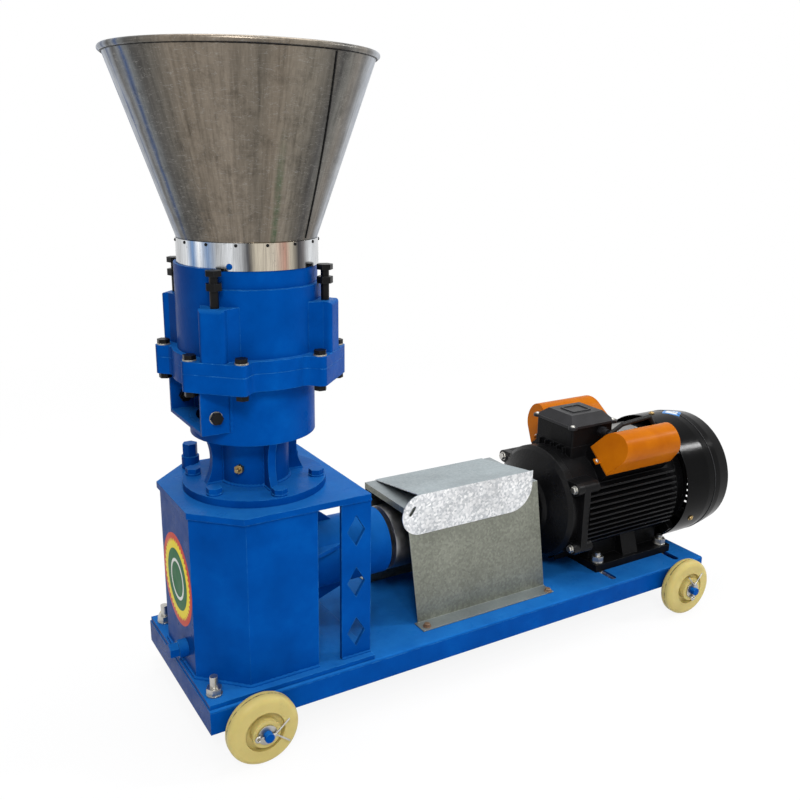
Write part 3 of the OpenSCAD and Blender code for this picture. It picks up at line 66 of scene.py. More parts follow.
def at(x, y, z):
    """A place in millimetres from the head axis, the centre plane and the deck's top."""
    return Vector((HEAD_X + x * MM, y * MM, DECK_Z + z * MM))


# Material building
class Shader:
    """A Principled material with short calls for nodes and links."""

    def __init__(self, name, **values):
        self.mat = bpy.data.materials.new(name)
        self.mat.use_nodes = True
        self.tree = self.mat.node_tree
        self.bsdf = self.tree.nodes["Principled BSDF"]
        for key, value in values.items():
            self.bsdf.inputs[key.replace("_", " ")].default_value = value
        self.coords = self.node("ShaderNodeTexCoord").outputs["Object"]

    def node(self, kind, **settings):
        made = self.tree.nodes.new(kind)
        for key, value in settings.items():
            setattr(made, key, value)
        return made

    def link(self, source, target):
        self.tree.links.new(source, target)

    def into(self, source, name):
        """Link an output to one of the Principled shader's inputs."""
        self.link(source, self.bsdf.inputs[name])

    def noise(self, scale, detail, rough, vector=None):
        made = self.node("ShaderNodeTexNoise")
        made.inputs["Scale"].default_value = scale
        made.inputs["Detail"].default_value = detail
        made.inputs["Roughness"].default_value = rough
        self.link(vector or self.coords, made.inputs["Vector"])
        return made.outputs["Fac"]

    def cells(self, scale):
        made = self.node("ShaderNodeTexVoronoi")
        made.inputs["Scale"].default_value = scale
        self.link(self.coords, made.inputs["Vector"])
        return made.outputs

    def ramp(self, source, stops, blend="LINEAR"):
        """Values or colours at places from 0 to 1, blended or in plain steps."""
        made = self.node("ShaderNodeValToRGB")
        line = made.color_ramp
        line.interpolation = blend
        while len(line.elements) < len(stops):
            line.elements.new(0.5)
        for element, (place, value) in zip(line.elements, stops):
            element.position = place
            element.color = (*value, 1) if isinstance(value, tuple) else (value, value, value, 1)
        self.link(source, made.inputs["Fac"])
        return made.outputs["Color"]

    def math(self, operation, *values, clamp=False):
        made = self.node("ShaderNodeMath", operation=operation, use_clamp=clamp)
        for socket, value in zip(made.inputs, values):
            if isinstance(value, (int, float)):
                socket.default_value = value
            else:
                self.link(value, socket)
        return made.outputs[0]

    def product(self, first, *others):
        """Values multiplied with one another."""
        for other in others:
            first = self.math("MULTIPLY", first, other)
        return first

    def mix(self, share, first, second, blend="MIX"):
        made = self.node("ShaderNodeMix", data_type="RGBA", blend_type=blend)
        for socket, value in zip((made.inputs[0], made.inputs[6], made.inputs[7]), (share, first, second)):
            if isinstance(value, tuple):
                socket.default_value = (*value, 1)
            elif isinstance(value, (int, float)):
                socket.default_value = value
            else:
                self.link(value, socket)
        return made.outputs[2]

    def tinted(self, first, *others):
        """Colours multiplied with one another."""
        for other in others:
            first = self.mix(1.0, first, other, "MULTIPLY")
        return first

    def scaled(self, factors):
        made = self.node("ShaderNodeMapping")
        made.inputs["Scale"].default_value = factors
        self.link(self.coords, made.inputs["Vector"])
        return made.outputs["Vector"]

    def axes(self, vector=None):
        made = self.node("ShaderNodeSeparateXYZ")
        self.link(vector or self.coords, made.inputs[0])
        return made.outputs

    def faces_along(self, axis, sign=1.0):
        """0 to 1 as the surface turns to one end of an axis."""
        normal = self.axes(self.node("ShaderNodeNewGeometry").outputs["Normal"])
        return self.math("MAXIMUM", self.math("MULTIPLY", normal[axis], sign), 0.0)

    def edges(self, radius):
        """Rounded normal, and 0 to 1 where an edge lies."""
        bevel = self.node("ShaderNodeBevel", samples=4)
        bevel.inputs["Radius"].default_value = radius
        plain = self.node("ShaderNodeNewGeometry")
        dot = self.node("ShaderNodeVectorMath", operation="DOT_PRODUCT")
        self.link(bevel.outputs[0], dot.inputs[0])
        self.link(plain.outputs["Normal"], dot.inputs[1])
        edge = self.math("SUBTRACT", 1.0, dot.outputs["Value"], clamp=True)
        return bevel.outputs[0], self.math("MULTIPLY", edge, 4.0, clamp=True)

    def bump(self, height, strength, distance, normal=None):
        made = self.node("ShaderNodeBump")
        made.inputs["Strength"].default_value = strength
        made.inputs["Distance"].default_value = distance
        self.link(height, made.inputs["Height"])
        if normal is not None:
            self.link(normal, made.inputs["Normal"])
        self.into(made.outputs[0], "Normal")


def painted_blue(name, grain, painted_top_light, depth):
    """Blue enamel over rough metal: brush mottling, faces that look up painted paler as lit from above, edges painted
    bright as a highlight, and faces that look to -X painted darker as shade.
    """
    s = Shader(name, Roughness=0.42, Specular_IOR_Level=0.025, Specular_Tint=(0.1, 0.6, 1, 1))
    deep, middle, light = (0.0002, 0.046, 0.24), (0.0003, 0.060, 0.30), (0.001, 0.084, 0.37)
    pale, bright, shaded = (0.020, 0.19, 0.52), (0.05, 0.27, 0.62), (0.002, 0.012, 0.07)
    normal, edge = s.edges(0.0014)
    mottle = s.ramp(s.noise(16, 6, 0.6), [(0.3, deep), (0.55, middle), (0.8, light)])
    # Faces that look up are painted paler blue, in patches: painted light from above
    up = s.product(s.faces_along(2), painted_top_light)
    patchy = s.product(up, s.ramp(s.noise(30, 8, 0.7), [(0.3, 0.55), (0.75, 1.0)]))
    # Edges painted bright blue in patches: a painted highlight where edges catch light
    wear_and_highlight = s.product(edge, s.ramp(s.noise(90, 5, 0.7), [(0.42, 0.1), (0.68, 1.0)]))
    paint = s.mix(wear_and_highlight, s.mix(patchy, mottle, pale), bright)
    # Faces that look to -X are painted darker: painted shade
    end = s.ramp(s.faces_along(0, -1.0), [(0.75, 0.0), (0.97, 0.5)])
    s.into(s.mix(end, paint, shaded), "Base Color")
    s.into(s.ramp(s.noise(40, 5, 0.6), [(0.3, 0.24), (0.8, 0.46)]), "Roughness")
    s.bump(s.noise(grain, 5, 0.6), 0.7, depth, normal)
    return s.mat


def head_direction(s):
    """Unit vector from the head axis, so that a texture on it makes upright streaks."""
    move = s.node("ShaderNodeVectorMath", operation="SUBTRACT")
    move.inputs[1].default_value = (HEAD_X, 0, 0)
    s.link(s.coords, move.inputs[0])
    flat = s.node("ShaderNodeVectorMath", operation="MULTIPLY")
    flat.inputs[1].default_value = (1, 1, 0)
    s.link(move.outputs[0], flat.inputs[0])
    unit = s.node("ShaderNodeVectorMath", operation="NORMALIZE")
    s.link(flat.outputs[0], unit.inputs[0])
    rise = s.node("ShaderNodeVectorMath", operation="MULTIPLY_ADD")
    rise.inputs[1].default_value = (0, 0, 0.5)
    s.link(s.coords, rise.inputs[0])
    s.link(unit.outputs[0], rise.inputs[2])
    return rise.outputs[0]


def head_azimuth(s, wobble):
    """0 to 1 round the head axis, from -X by -Y and +X, a little uneven."""
    place = s.axes()
    across = s.math("SUBTRACT", place[0], HEAD_X)
    turn = s.math("MULTIPLY_ADD", s.math("ARCTAN2", place[1], across), 0.5 / math.pi, 0.5)
    uneven = s.math("SUBTRACT", s.noise(9, 4, 0.6), 0.5)
    return s.math("MULTIPLY_ADD", uneven, wobble, turn)


def streaks(stops, tones):
    """Named tones round the head, given by azimuth in degrees from -180 to 180, as stops of a ramp."""
    return [((azimuth + 180) / 360, tones[tone]) for azimuth, tone in stops]


# Tones round the cone by azimuth: upright bands of painted reflection, lighter, bluer and darker, over the sheet's
# dull beige
CONE_TONES = {
    "grey": (0.17, 0.165, 0.15), "ash": (0.15, 0.145, 0.14), "mist": (0.17, 0.18, 0.19), "haze": (0.15, 0.16, 0.165),
    "dark": (0.085, 0.082, 0.078), "umber": (0.125, 0.115, 0.10), "shade": (0.12, 0.11, 0.095),
    "brown": (0.15, 0.13, 0.105), "beige": (0.20, 0.168, 0.132), "sand": (0.215, 0.182, 0.145),
    "straw": (0.21, 0.185, 0.15), "stone": (0.20, 0.18, 0.155),
    "bright": (0.34, 0.36, 0.39), "glare": (0.40, 0.44, 0.50), "sheen": (0.36, 0.40, 0.46),
    "navy": (0.035, 0.07, 0.17), "steel": (0.24, 0.27, 0.32),
}
CONE_STREAKS = [
    (-180, "navy"), (-177, "steel"), (-173, "dark"), (-169, "mist"), (-166, "navy"), (-163, "haze"), (-158, "dark"),
    (-150, "umber"), (-138, "beige"), (-118, "sand"), (-104, "brown"), (-97, "beige"), (-84, "straw"), (-75, "shade"),
    (-69, "dark"), (-64, "grey"), (-57, "stone"), (-50, "ash"), (-44, "bright"), (-30, "glare"), (0, "grey"),
    (40, "beige"), (90, "grey"), (130, "dark"), (150, "bright"), (163, "steel"), (168, "navy"), (172, "sheen"),
    (177, "steel"),
]
NECK_TONES = {
    "white": (0.70, 0.72, 0.74), "pale": (0.42, 0.43, 0.44), "dark": (0.05, 0.05, 0.055), "smoke": (0.16, 0.15, 0.15),
    "blue": (0.12, 0.24, 0.46), "sky": (0.20, 0.30, 0.48), "sand": (0.50, 0.45, 0.36), "cream": (0.55, 0.49, 0.40),
    "rose": (0.45, 0.26, 0.20),
}
NECK_STREAKS = [
    (-180, "pale"), (-166, "white"), (-158, "blue"), (-152, "white"), (-144, "sky"), (-136, "pale"), (-126, "white"),
    (-118, "pale"), (-112, "dark"), (-107, "sand"), (-92, "cream"), (-83, "rose"), (-78, "sand"), (-70, "dark"),
    (-64, "smoke"), (-55, "white"), (-30, "pale"), (0, "white"), (35, "dark"), (60, "sand"), (95, "pale"),
    (120, "blue"), (140, "white"), (160, "pale"),
]

STAIN_AZIMUTH = -92
STAIN_Z = DECK_Z + 0.61


def stainless():
    """Sheet steel of the cone: dull beige with upright streaks of painted reflection, brushed scratches and darker
    smears.
    """
    s = Shader("stainless_sheet", Metallic=1.0, Roughness=0.34)
    way = head_direction(s)
    broad = s.ramp(head_azimuth(s, 0.03), streaks(CONE_STREAKS, CONE_TONES))
    fine = s.ramp(s.noise(26, 5, 0.65, way), [(0.3, 0.70), (0.5, 1.0), (0.72, 1.22)])
    grain = s.ramp(s.noise(420, 3, 0.6, s.scaled((1, 1, 0.12))), [(0.3, 0.9), (0.7, 1.08)])
    smear = s.ramp(s.noise(30, 9, 0.8), [(0.50, 1.0), (0.66, 0.62)])
    tone = s.tinted(broad, fine, grain, smear)

    # A green stain on the near side; climb goes from 0 at 62 mm below its middle to 1 at 62 mm above it
    climb = s.math("MULTIPLY_ADD", s.math("SUBTRACT", s.axes()[2], STAIN_Z), 8.0, 0.5)
    turn = head_azimuth(s, 0.004)
    beside = s.math("ABSOLUTE", s.math("SUBTRACT", turn, (STAIN_AZIMUTH + 180) / 360))
    across = s.ramp(s.product(beside, 100.0), [(0.25, 1.0), (0.95, 0.0)])
    along = s.ramp(climb, [(0.0, 1.0), (0.55, 0.7), (0.95, 0.0)])
    broken = s.ramp(s.noise(55, 8, 0.75), [(0.38, 0.1), (0.62, 0.75)])
    tone = s.mix(s.product(across, along, broken), tone, (0.03, 0.085, 0.035))

    # Dirt at the left edge, thicker towards the foot
    left = s.ramp(turn, [(0.0, 0.5), (0.09, 0.8), (0.14, 0.0), (0.9, 0.0), (1.0, 0.5)])
    clumps = s.ramp(s.noise(24, 9, 0.8), [(0.47, 0.0), (0.56, 0.8)])
    foot = s.ramp(climb, [(0.1, 1.0), (0.95, 0.1)])
    tone = s.mix(s.product(left, clumps, foot), tone, (0.05, 0.048, 0.045))
    scratch = s.ramp(s.noise(46, 2, 0.5, s.scaled((1, 1, 5))), [(0.49, 0.0), (0.5, 0.45), (0.51, 0.0)])
    s.into(s.mix(scratch, tone, (0.34, 0.33, 0.31)), "Base Color")
    s.into(s.ramp(s.noise(35, 7, 0.7), [(0.3, 0.26), (0.75, 0.5)]), "Roughness")
    s.bump(s.noise(120, 3, 0.6, way), 0.12, 0.0002)
    return s.mat


def polished():
    """Bright neck band with upright bands of reflected colour."""
    s = Shader("polished_band", Metallic=1.0, Roughness=0.14)
    tone = s.ramp(head_azimuth(s, 0.016), streaks(NECK_STREAKS, NECK_TONES))
    fine = s.ramp(s.noise(60, 4, 0.6, head_direction(s)), [(0.35, 0.8), (0.65, 1.15)])
    spots = s.ramp(s.noise(160, 5, 0.7), [(0.62, 0.0), (0.72, 0.6)])
    s.into(s.mix(spots, s.tinted(tone, fine), (0.10, 0.09, 0.085)), "Base Color")
    s.into(s.ramp(s.noise(50, 6, 0.7), [(0.35, 0.10), (0.8, 0.28)]), "Roughness")
    return s.mat


def galvanised(name, low, high, lift, grains):
    """Zinc-coated sheet with crystal spangle, and another tone painted where it looks up, as the light on its top."""
    s = Shader(name, Metallic=0.8, Roughness=0.44, Specular_IOR_Level=0.3)
    normal, edge = s.edges(0.0008)
    cells = s.cells(grains)
    crystal = s.ramp(cells["Color"], [(0.2, low), (0.9, high)])
    # Faces that look up take the lift tone: painted light, the top lit otherwise than the sides
    crystal = s.mix(s.product(s.faces_along(2), 0.85), crystal, lift)
    stain = s.ramp(s.noise(11, 7, 0.65), [(0.35, 0.78), (0.7, 1.08)])
    wear_and_highlight = s.mix(s.product(edge, 0.5), s.tinted(crystal, stain), (0.62, 0.64, 0.64))
    rust = s.ramp(s.noise(34, 8, 0.72), [(0.70, 0.0), (0.80, 0.55)])
    s.into(s.mix(rust, wear_and_highlight, (0.22, 0.12, 0.06)), "Base Color")
    s.into(s.ramp(cells["Distance"], [(0.0, 0.36), (0.8, 0.54)]), "Roughness")
    s.bump(s.noise(60, 4, 0.6), 0.15, 0.0003, normal)
    return s.mat


def cast_black(name, rough, grain, depth, tone, level):
    """Black machine paint on cast metal, painted greyer on its edges as a highlight."""
    s = Shader(name, Roughness=rough, Specular_IOR_Level=level)
    normal, edge = s.edges(0.001)
    low, high = (tuple(tone * v for v in (k, k, k * 1.1)) for k in (0.0022, 0.0058))
    base = s.ramp(s.noise(22, 6, 0.6), [(0.3, low), (0.75, high)])
    wear_and_highlight = s.product(edge, s.ramp(s.noise(70, 6, 0.7), [(0.4, 0.25), (0.7, 0.9)]))
    s.into(s.mix(wear_and_highlight, base, (0.050, 0.052, 0.056)), "Base Color")
    s.into(s.ramp(s.noise(48, 6, 0.6), [(0.3, rough * 0.8), (0.8, rough * 1.3)]), "Roughness")
    s.bump(s.noise(grain, 5, 0.6), 0.6, depth, normal)
    return s.mat


def chamber_bolts():
    """Black bolts and nuts whose washers are zinc, told apart by where the washers lie."""
    s = Shader("chamber_bolts", Roughness=0.36, Specular_IOR_Level=0.12)
    washer_t, slack, clear_below = 1.6 * MM, 0.1 * MM, 40 * MM
    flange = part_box("upper_chamber")[0].z + 14.5 * MM
    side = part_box("discharge_chute")[1].y
    normal, edge = s.edges(0.0006)
    place = s.axes()
    reach = washer_t / 2 + slack
    on_flange = s.math("COMPARE", place[2], flange + washer_t / 2, reach)
    on_side = s.math("COMPARE", s.math("ABSOLUTE", place[1]), side + washer_t / 2, reach)
    low = s.math("LESS_THAN", place[2], flange - clear_below)
    washer = s.math("MAXIMUM", on_flange, s.product(on_side, low))
    oxide = s.ramp(s.noise(120, 5, 0.6), [(0.3, (0.002, 0.002, 0.002)), (0.75, (0.008, 0.008, 0.009))])
    zinc = s.ramp(s.noise(200, 5, 0.6), [(0.3, (0.30, 0.28, 0.24)), (0.75, (0.52, 0.50, 0.44))])
    s.into(s.mix(washer, s.mix(s.product(edge, 0.5), oxide, (0.05, 0.05, 0.055)), zinc), "Base Color")
    s.into(s.product(washer, 0.7), "Metallic")
    s.bump(s.noise(260, 5, 0.6), 0.4, 0.0002, normal)
    return s.mat


def metal(name, dark, light, rough, metallic=1.0):
    """Bare or plated metal with cloudy tone and fine grain."""
    s = Shader(name, Metallic=metallic, Roughness=rough)
    normal, edge = s.edges(0.0006)
    cloud = s.ramp(s.noise(35, 6, 0.65), [(0.3, dark), (0.75, light)])
    s.into(s.mix(s.product(edge, 0.35), cloud, light), "Base Color")
    s.into(s.ramp(s.noise(80, 5, 0.6), [(0.3, rough), (0.8, rough + 0.12)]), "Roughness")
    s.bump(s.noise(360, 3, 0.5), 0.2, 0.00015, normal)
    return s.mat


def plastic(name, dark, light, rough, level=0.08):
    """Moulded plastic with faint mottling and a fine skin texture."""
    s = Shader(name, Roughness=rough, Specular_IOR_Level=level)
    normal, edge = s.edges(0.0009)
    tone = s.ramp(s.noise(20, 6, 0.6), [(0.3, dark), (0.75, light)])
    # Edges are painted lighter: a painted highlight
    s.into(s.mix(s.product(edge, 0.3), tone, light), "Base Color")
    s.into(s.ramp(s.noise(60, 5, 0.6), [(0.3, rough * 0.85), (0.8, rough * 1.25)]), "Roughness")
    s.bump(s.noise(260, 4, 0.6), 0.25, 0.00015, normal)
    return s.mat


def nylon():
    """Cream wheel nylon with a dirty parting line round the tread."""
    s = Shader(
        "cream_nylon", Roughness=0.42, Subsurface_Weight=0.1, Subsurface_Scale=0.006, Specular_IOR_Level=0.2
    )
    line_half_width = 0.8 * MM
    tone = s.ramp(s.noise(14, 6, 0.6), [(0.3, (0.47, 0.38, 0.125)), (0.75, (0.59, 0.49, 0.18))])
    away = s.math("ABSOLUTE", s.math("SUBTRACT", s.math("ABSOLUTE", s.axes()[1]), WHEEL_Y))
    line = s.math("LESS_THAN", away, line_half_width)
    ragged = s.product(line, s.ramp(s.noise(260, 5, 0.7), [(0.42, 0.0), (0.55, 1.0)]))
    grime = s.ramp(s.noise(45, 8, 0.75), [(0.58, 0.0), (0.85, 0.4)])
    s.into(s.mix(ragged, s.mix(grime, tone, (0.24, 0.20, 0.09)), (0.06, 0.045, 0.02)), "Base Color")
    s.into(s.ramp(s.noise(60, 5, 0.6), [(0.3, 0.3), (0.8, 0.5)]), "Roughness")
    s.bump(s.noise(110, 4, 0.6), 0.25, 0.0002)
    return s.mat


paint_cast = painted_blue("blue_cast", 190, 0.5, 0.0004)
paint_sheet = painted_blue("blue_sheet", 320, 0.62, 0.00018)
paint_weld = painted_blue("blue_weld", 420, 0.4, 0.0004)
steel_sheet = stainless()
steel_band = polished()
zinc_sheet = galvanised("galvanised_sheet", (0.20, 0.205, 0.165), (0.28, 0.29, 0.235), (0.31, 0.35, 0.37), 330)
# The lid's copy of the sheet is painted near white: a painted glare, a lit copy of the galvanised sheet
zinc_bright = galvanised("galvanised_lid", (0.55, 0.57, 0.59), (0.98, 0.98, 0.98), (0.27, 0.33, 0.35), 300)
black_cast = cast_black("black_cast", 0.4, 210, 0.0006, 1.0, 0.09)
black_smooth = cast_black("black_bell", 0.3, 190, 0.0007, 0.8, 0.14)
black_gloss = cast_black("black_gloss", 0.18, 90, 0.0001, 0.5, 0.05)
black_lid = cast_black("black_lid", 0.4, 120, 0.0002, 4.0, 0.2)
black_oxide = cast_black("black_oxide", 0.36, 260, 0.0002, 0.9, 0.12)
zinc_plate = metal("zinc_plate", (0.32, 0.31, 0.28), (0.60, 0.59, 0.56), 0.3)
bare_steel = metal("bare_steel", (0.24, 0.24, 0.25), (0.46, 0.46, 0.47), 0.3)
rusty = metal("rusty_screw", (0.14, 0.055, 0.022), (0.36, 0.28, 0.20), 0.5, metallic=0.6)
brass = metal("greasy_brass", (0.22, 0.14, 0.06), (0.48, 0.36, 0.16), 0.36)
copper = metal("copper_winding", (0.34, 0.13, 0.05), (0.60, 0.28, 0.12), 0.4)
cream = nylon()
orange = plastic("orange_plastic", (0.37, 0.090, 0.0015), (0.50, 0.145, 0.003), 0.34, level=0.04)
black_plastic = plastic("black_plastic", (0.005, 0.005, 0.006), (0.016, 0.016, 0.018), 0.5)
cable_skin = plastic("cable_rubber", (0.004, 0.004, 0.004), (0.012, 0.012, 0.012), 0.5, level=0.2)
spider_red = plastic("spider_rubber", (0.30, 0.03, 0.02), (0.42, 0.05, 0.03), 0.6)
label_blue = plastic("label_blue", (0.01, 0.14, 0.42), (0.02, 0.22, 0.55), 0.3, level=0.3)
label_white = plastic("label_white", (0.50, 0.54, 0.58), (0.72, 0.75, 0.78), 0.3, level=0.3)
silver_plate = metal("silver_plate", (0.12, 0.12, 0.12), (0.34, 0.34, 0.33), 0.42)

# A material for every slot, and others for single pieces
FINISH = {
    "blue_paint": paint_cast,
    "bare_steel": bare_steel,
    "black_oxide": black_oxide,
    "zinc_plate": zinc_plate,
    "nylon": cream,
    "stainless": steel_sheet,
    "galvanised": zinc_sheet,
    "motor_black": black_cast,
    "gloss_black": black_gloss,
    "orange_plastic": orange,
    "black_plastic": black_plastic,
    "spider_rubber": spider_red,
    "copper_winding": copper,
    "brass_nipple": brass,
    "cable_rubber": cable_skin,
}
SPECIAL = {
    "deck_plate": paint_sheet,
    "side_rails": paint_sheet,
    "end_rails": paint_sheet,
    "base_plate": paint_sheet,
    "gearbox_shell": paint_sheet,
    "top_plate": paint_sheet,
    "pierced_posts": paint_sheet,
    "hopper_neck": steel_band,
    "guard_lid": zinc_bright,
    "motor_bell_front": black_smooth,
    "motor_bell_rear": black_smooth,
    "terminal_lid": black_lid,
    "chamber_fasteners": chamber_bolts(),
}
slots = {p["node"]: p["material_slot"] for p in frame["record"]["subparts"]}
for name, piece in nodes.items():
    finish = SPECIAL.get(name, FINISH[slots[name]])
    piece.data.materials.clear()
    piece.data.materials.append(finish)
    # The frame's own material numbers don't count any more
    for face in piece.data.polygons:
        face.material_index = 0


# Mesh building
def from_bmesh(name, bm, material, body, smooth_deg=35):
    """Make a mesh a piece of dressing that rides a body."""
    bmesh.ops.recalc_face_normals(bm, faces=bm.faces)
    mesh = bpy.data.meshes.new(name)
    bm.to_mesh(mesh)
    bm.free()
    for face in mesh.polygons:
        face.use_smooth = True
    mesh.set_sharp_from_angle(angle=math.radians(smooth_deg))
    mesh.materials.append(material)
    piece = bpy.data.objects.new(name, mesh)
    bpy.context.scene.collection.objects.link(piece)
    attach(piece, body)


def facing(place, direction):
    """Matrix that puts +Z along a direction at a place."""
    turn = Vector(direction).normalized().to_track_quat("Z", "Y").to_matrix().to_4x4()
    return Matrix.Translation(place) @ turn


def add_ring(bm, matrix, radius, height, steps):
    """Vertices of a circle round +Z of a matrix."""
    angles = [2 * math.pi * k / steps for k in range(steps)]
    return [bm.verts.new(matrix @ Vector((radius * math.cos(a), radius * math.sin(a), height))) for a in angles]


def join_rows(bm, low, high, closed=True):
    """Faces between two rows of vertices, closed to a ring or open as a strip."""
    for k in range(len(low) if closed else len(low) - 1):
        n = (k + 1) % len(low)
        bm.faces.new((low[k], low[n], high[n], high[k]))


def add_lathe(bm, profile, matrix, steps):
    """Rings of (radius, height) pairs round +Z of a matrix, closed at ends of radius 0."""
    rings = []
    for radius, height in profile:
        if radius == 0:
            rings.append([bm.verts.new(matrix @ Vector((0, 0, height)))])
        else:
            rings.append(add_ring(bm, matrix, radius, height, steps))
    for low, high in zip(rings, rings[1:]):
        if len(low) == len(high):
            join_rows(bm, low, high)
            continue
        for k in range(steps):
            n = (k + 1) % steps
            bm.faces.new((low[0], high[k], high[n]) if len(low) == 1 else (low[k], low[n], high[0]))


def add_button(bm, profile, place, direction, steps):
    """A small turned piece on a surface, its (radius, height) pairs in millimetres."""
    add_lathe(bm, [(radius * MM, height * MM) for radius, height in profile], facing(place, direction), steps)


def add_pan_head(bm, place, direction, radius):
    """A domed screw head with a dimple in its middle."""
    height = radius * 0.7
    dome = [(0, 0), (1, 0), (1, 0.35), (0.86, 0.75), (0.55, 1), (0.3, 0.98), (0.16, 0.55), (0, 0.55)]
    add_lathe(bm, [(radius * r, height * h) for r, h in dome], facing(place, direction), 20)


def add_hex_head(bm, place, direction, across, height, washer):
    """A hexagon head with a chamfered top on a washer of a given radius."""
    matrix = facing(place, direction)
    start = across * 0.12
    add_lathe(bm, [(0, 0), (washer, 0), (washer, start), (0, start)], matrix, 28)
    r = across / math.sqrt(3)
    profile = [(0, start), (r, start), (r, start + height * 0.82), (r * 0.86, start + height), (0, start + height)]
    add_lathe(bm, profile, matrix, 6)


def add_bead(bm, points, radius, closed=False, step=0.0022, sides=8, lumpy=1.0):
    """A weld bead: a lumpy tube along a line of points."""
    line = [Vector(p) for p in points]
    if closed:
        line.append(line[0])
    places = []
    for a, b in zip(line, line[1:]):
        count = max(2, int((b - a).length / step))
        places += [a.lerp(b, k / count) for k in range(count)]
    if not closed:
        places.append(line[-1])
    rings = []
    for k, place in enumerate(places):
        ahead = places[(k + 1) % len(places)] if closed or k + 1 < len(places) else place
        behind = places[k - 1] if closed or k else place
        along = (ahead - behind).normalized()
        size = radius * (1 + lumpy * (0.3 * abs(math.sin(k * 0.9)) - 0.18 + random.uniform(-0.08, 0.08)))
        rings.append(add_ring(bm, facing(place, along), size, 0, sides))
    for low, high in zip(rings, rings[1:]):
        join_rows(bm, low, high)
    if closed:
        join_rows(bm, rings[-1], rings[0])
    else:
        bm.faces.new(rings[0])
        bm.faces.new(rings[-1])


def circle_points(centre, radius, axis, count=96):
    """Points of a circle about an axis through a centre."""
    matrix = facing(centre, axis)
    angles = [math.radians(360 * k / count) for k in range(count)]
    return [matrix @ Vector((radius * math.cos(a), radius * math.sin(a), 0)) for a in angles]


# Weld beads of the pedestal, column and chute
BEAD = 2.2 * MM
BOX_CORNER = 52 * MM
HOUSING_R = 47 * MM
HOUSING_SEAM = 3 * MM
COLUMN_R = 44 * MM
COLUMN_FOOT = 9.5 * MM
RIB_HALF = 5 * MM
RIB_REACH = 65 * MM
CHAMBER_R = 78 * MM
CHUTE_HALF = 59.5 * MM


def outline_of_box(z):
    """The gearbox's outline from its right wall round the left end, at a height."""
    left, right, side = box_low.x, box_high.x, box_high.y
    return [
        Vector((right, -side, z)),
        Vector((left + BOX_CORNER, -side, z)),
        Vector((left, -side + BOX_CORNER, z)),
        Vector((left, side - BOX_CORNER, z)),
        Vector((left + BOX_CORNER, side, z)),
        Vector((right, side, z)),
    ]


def weld_pedestal():
    """Beads round the gearbox, the pinion housing and the ends of the posts."""
    bm = bmesh.new()
    add_bead(bm, outline_of_box(box_low.z), BEAD * 1.3)
    add_bead(bm, outline_of_box(box_high.z), BEAD)
    wall = Vector((box_high.x, 0, DRIVE_Z))
    add_bead(bm, circle_points(wall, HOUSING_R, (1, 0, 0)), BEAD * 1.2, closed=True)
    post_low, post_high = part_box("pierced_posts")
    for side in (-1, 1):
        y = side * post_high.y
        for z in (post_low.z, post_high.z):
            add_bead(bm, [Vector((post_low.x, y, z)), Vector((post_high.x, y, z))], BEAD)
    for y in (-HOUSING_SEAM, HOUSING_SEAM):
        add_bead(bm, [Vector((wall.x, y, house_high.z)), Vector((wall.x, y, DRIVE_Z + HOUSING_R))], BEAD * 0.8)
    from_bmesh("pedestal_welds", bm, paint_weld, "frame", 60)


def weld_column():
    """Beads at the column's foot, top and ribs, and beside the chute."""
    bm = bmesh.new()
    col_low, col_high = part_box("column")
    foot_z = col_low.z + COLUMN_FOOT
    axis = Vector((HEAD_X, 0, 0))
    up = (0, 0, 1)
    add_bead(bm, circle_points(axis + Vector((0, 0, foot_z)), COLUMN_R, up), BEAD * 1.2, closed=True)
    add_bead(bm, circle_points(axis + Vector((0, 0, col_high.z - MM)), COLUMN_R, up), BEAD, closed=True)
    for quarter in range(4):
        turn = Matrix.Rotation(math.radians(90 * quarter), 4, "Z")
        for side in (-RIB_HALF, RIB_HALF):
            low = axis + turn @ Vector((COLUMN_R - MM, side, foot_z))
            high = axis + turn @ Vector((COLUMN_R - MM, side, col_high.z))
            add_bead(bm, [low, high], BEAD * 0.8)
            add_bead(bm, [low, axis + turn @ Vector((RIB_REACH, side, foot_z))], BEAD * 0.8)
    chute_low, chute_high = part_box("discharge_chute")
    x = HEAD_X - math.sqrt(CHAMBER_R ** 2 - CHUTE_HALF ** 2) + 0.4 * MM
    rise = Vector((0, 0, chute_high.z - chute_low.z - 2 * MM))
    for side in (-1, 1):
        foot = Vector((x, side * (CHUTE_HALF - 0.9 * MM), chute_low.z))
        add_bead(bm, [foot, foot + rise], BEAD * 1.3, step=0.002)
    from_bmesh("column_welds", bm, paint_weld, "frame", 60)


# Hopper trim: rivets, a paint spot, the lapped seam with a bead of painted shadow, and a ragged line of painted shade
# under the rim
CONE_LOW_R = 83.05 * MM
CONE_HIGH_R = 153.5 * MM
CONE_LOW_Z = neck_high.z
CONE_HIGH_Z = cone_high.z - 3.5 * MM
CONE_RISE = CONE_HIGH_Z - CONE_LOW_Z
SEAM_LOW, SEAM_HIGH, SEAM_WIDE = (math.radians(degrees) for degrees in (-60, -72, 9))
# Share of the strip's width, and lift over the sheet in millimetres
SEAM_STRIP = ((0, 0.25), (0.02, 1.1), (0.5, 1.2), (0.98, 1.15), (1, 0.25))
# Azimuths in degrees; RIVET and PAINT_SPOT are (radius, height) pairs in millimetres
RIVET_COUNT = 15
FIRST_RIVET = -96.5
RIVET_REACH = 84.3 * MM
RIVET_Z = neck_high.z - 2.6 * MM
SPOT_AZIMUTH = -126
SPOT_Z = DECK_Z + 516 * MM
RIVET = [(0, 0), (2.0, 0), (1.7, 0.9), (0.9, 1.3), (0, 1.4)]
PAINT_SPOT = [(0, 0), (3.7, 0), (3.5, 0.4), (2.2, 0.7), (0, 0.75)]


def from_head(degrees):
    """Unit direction from the head axis at an azimuth."""
    a = math.radians(degrees)
    return Vector((math.cos(a), math.sin(a), 0))


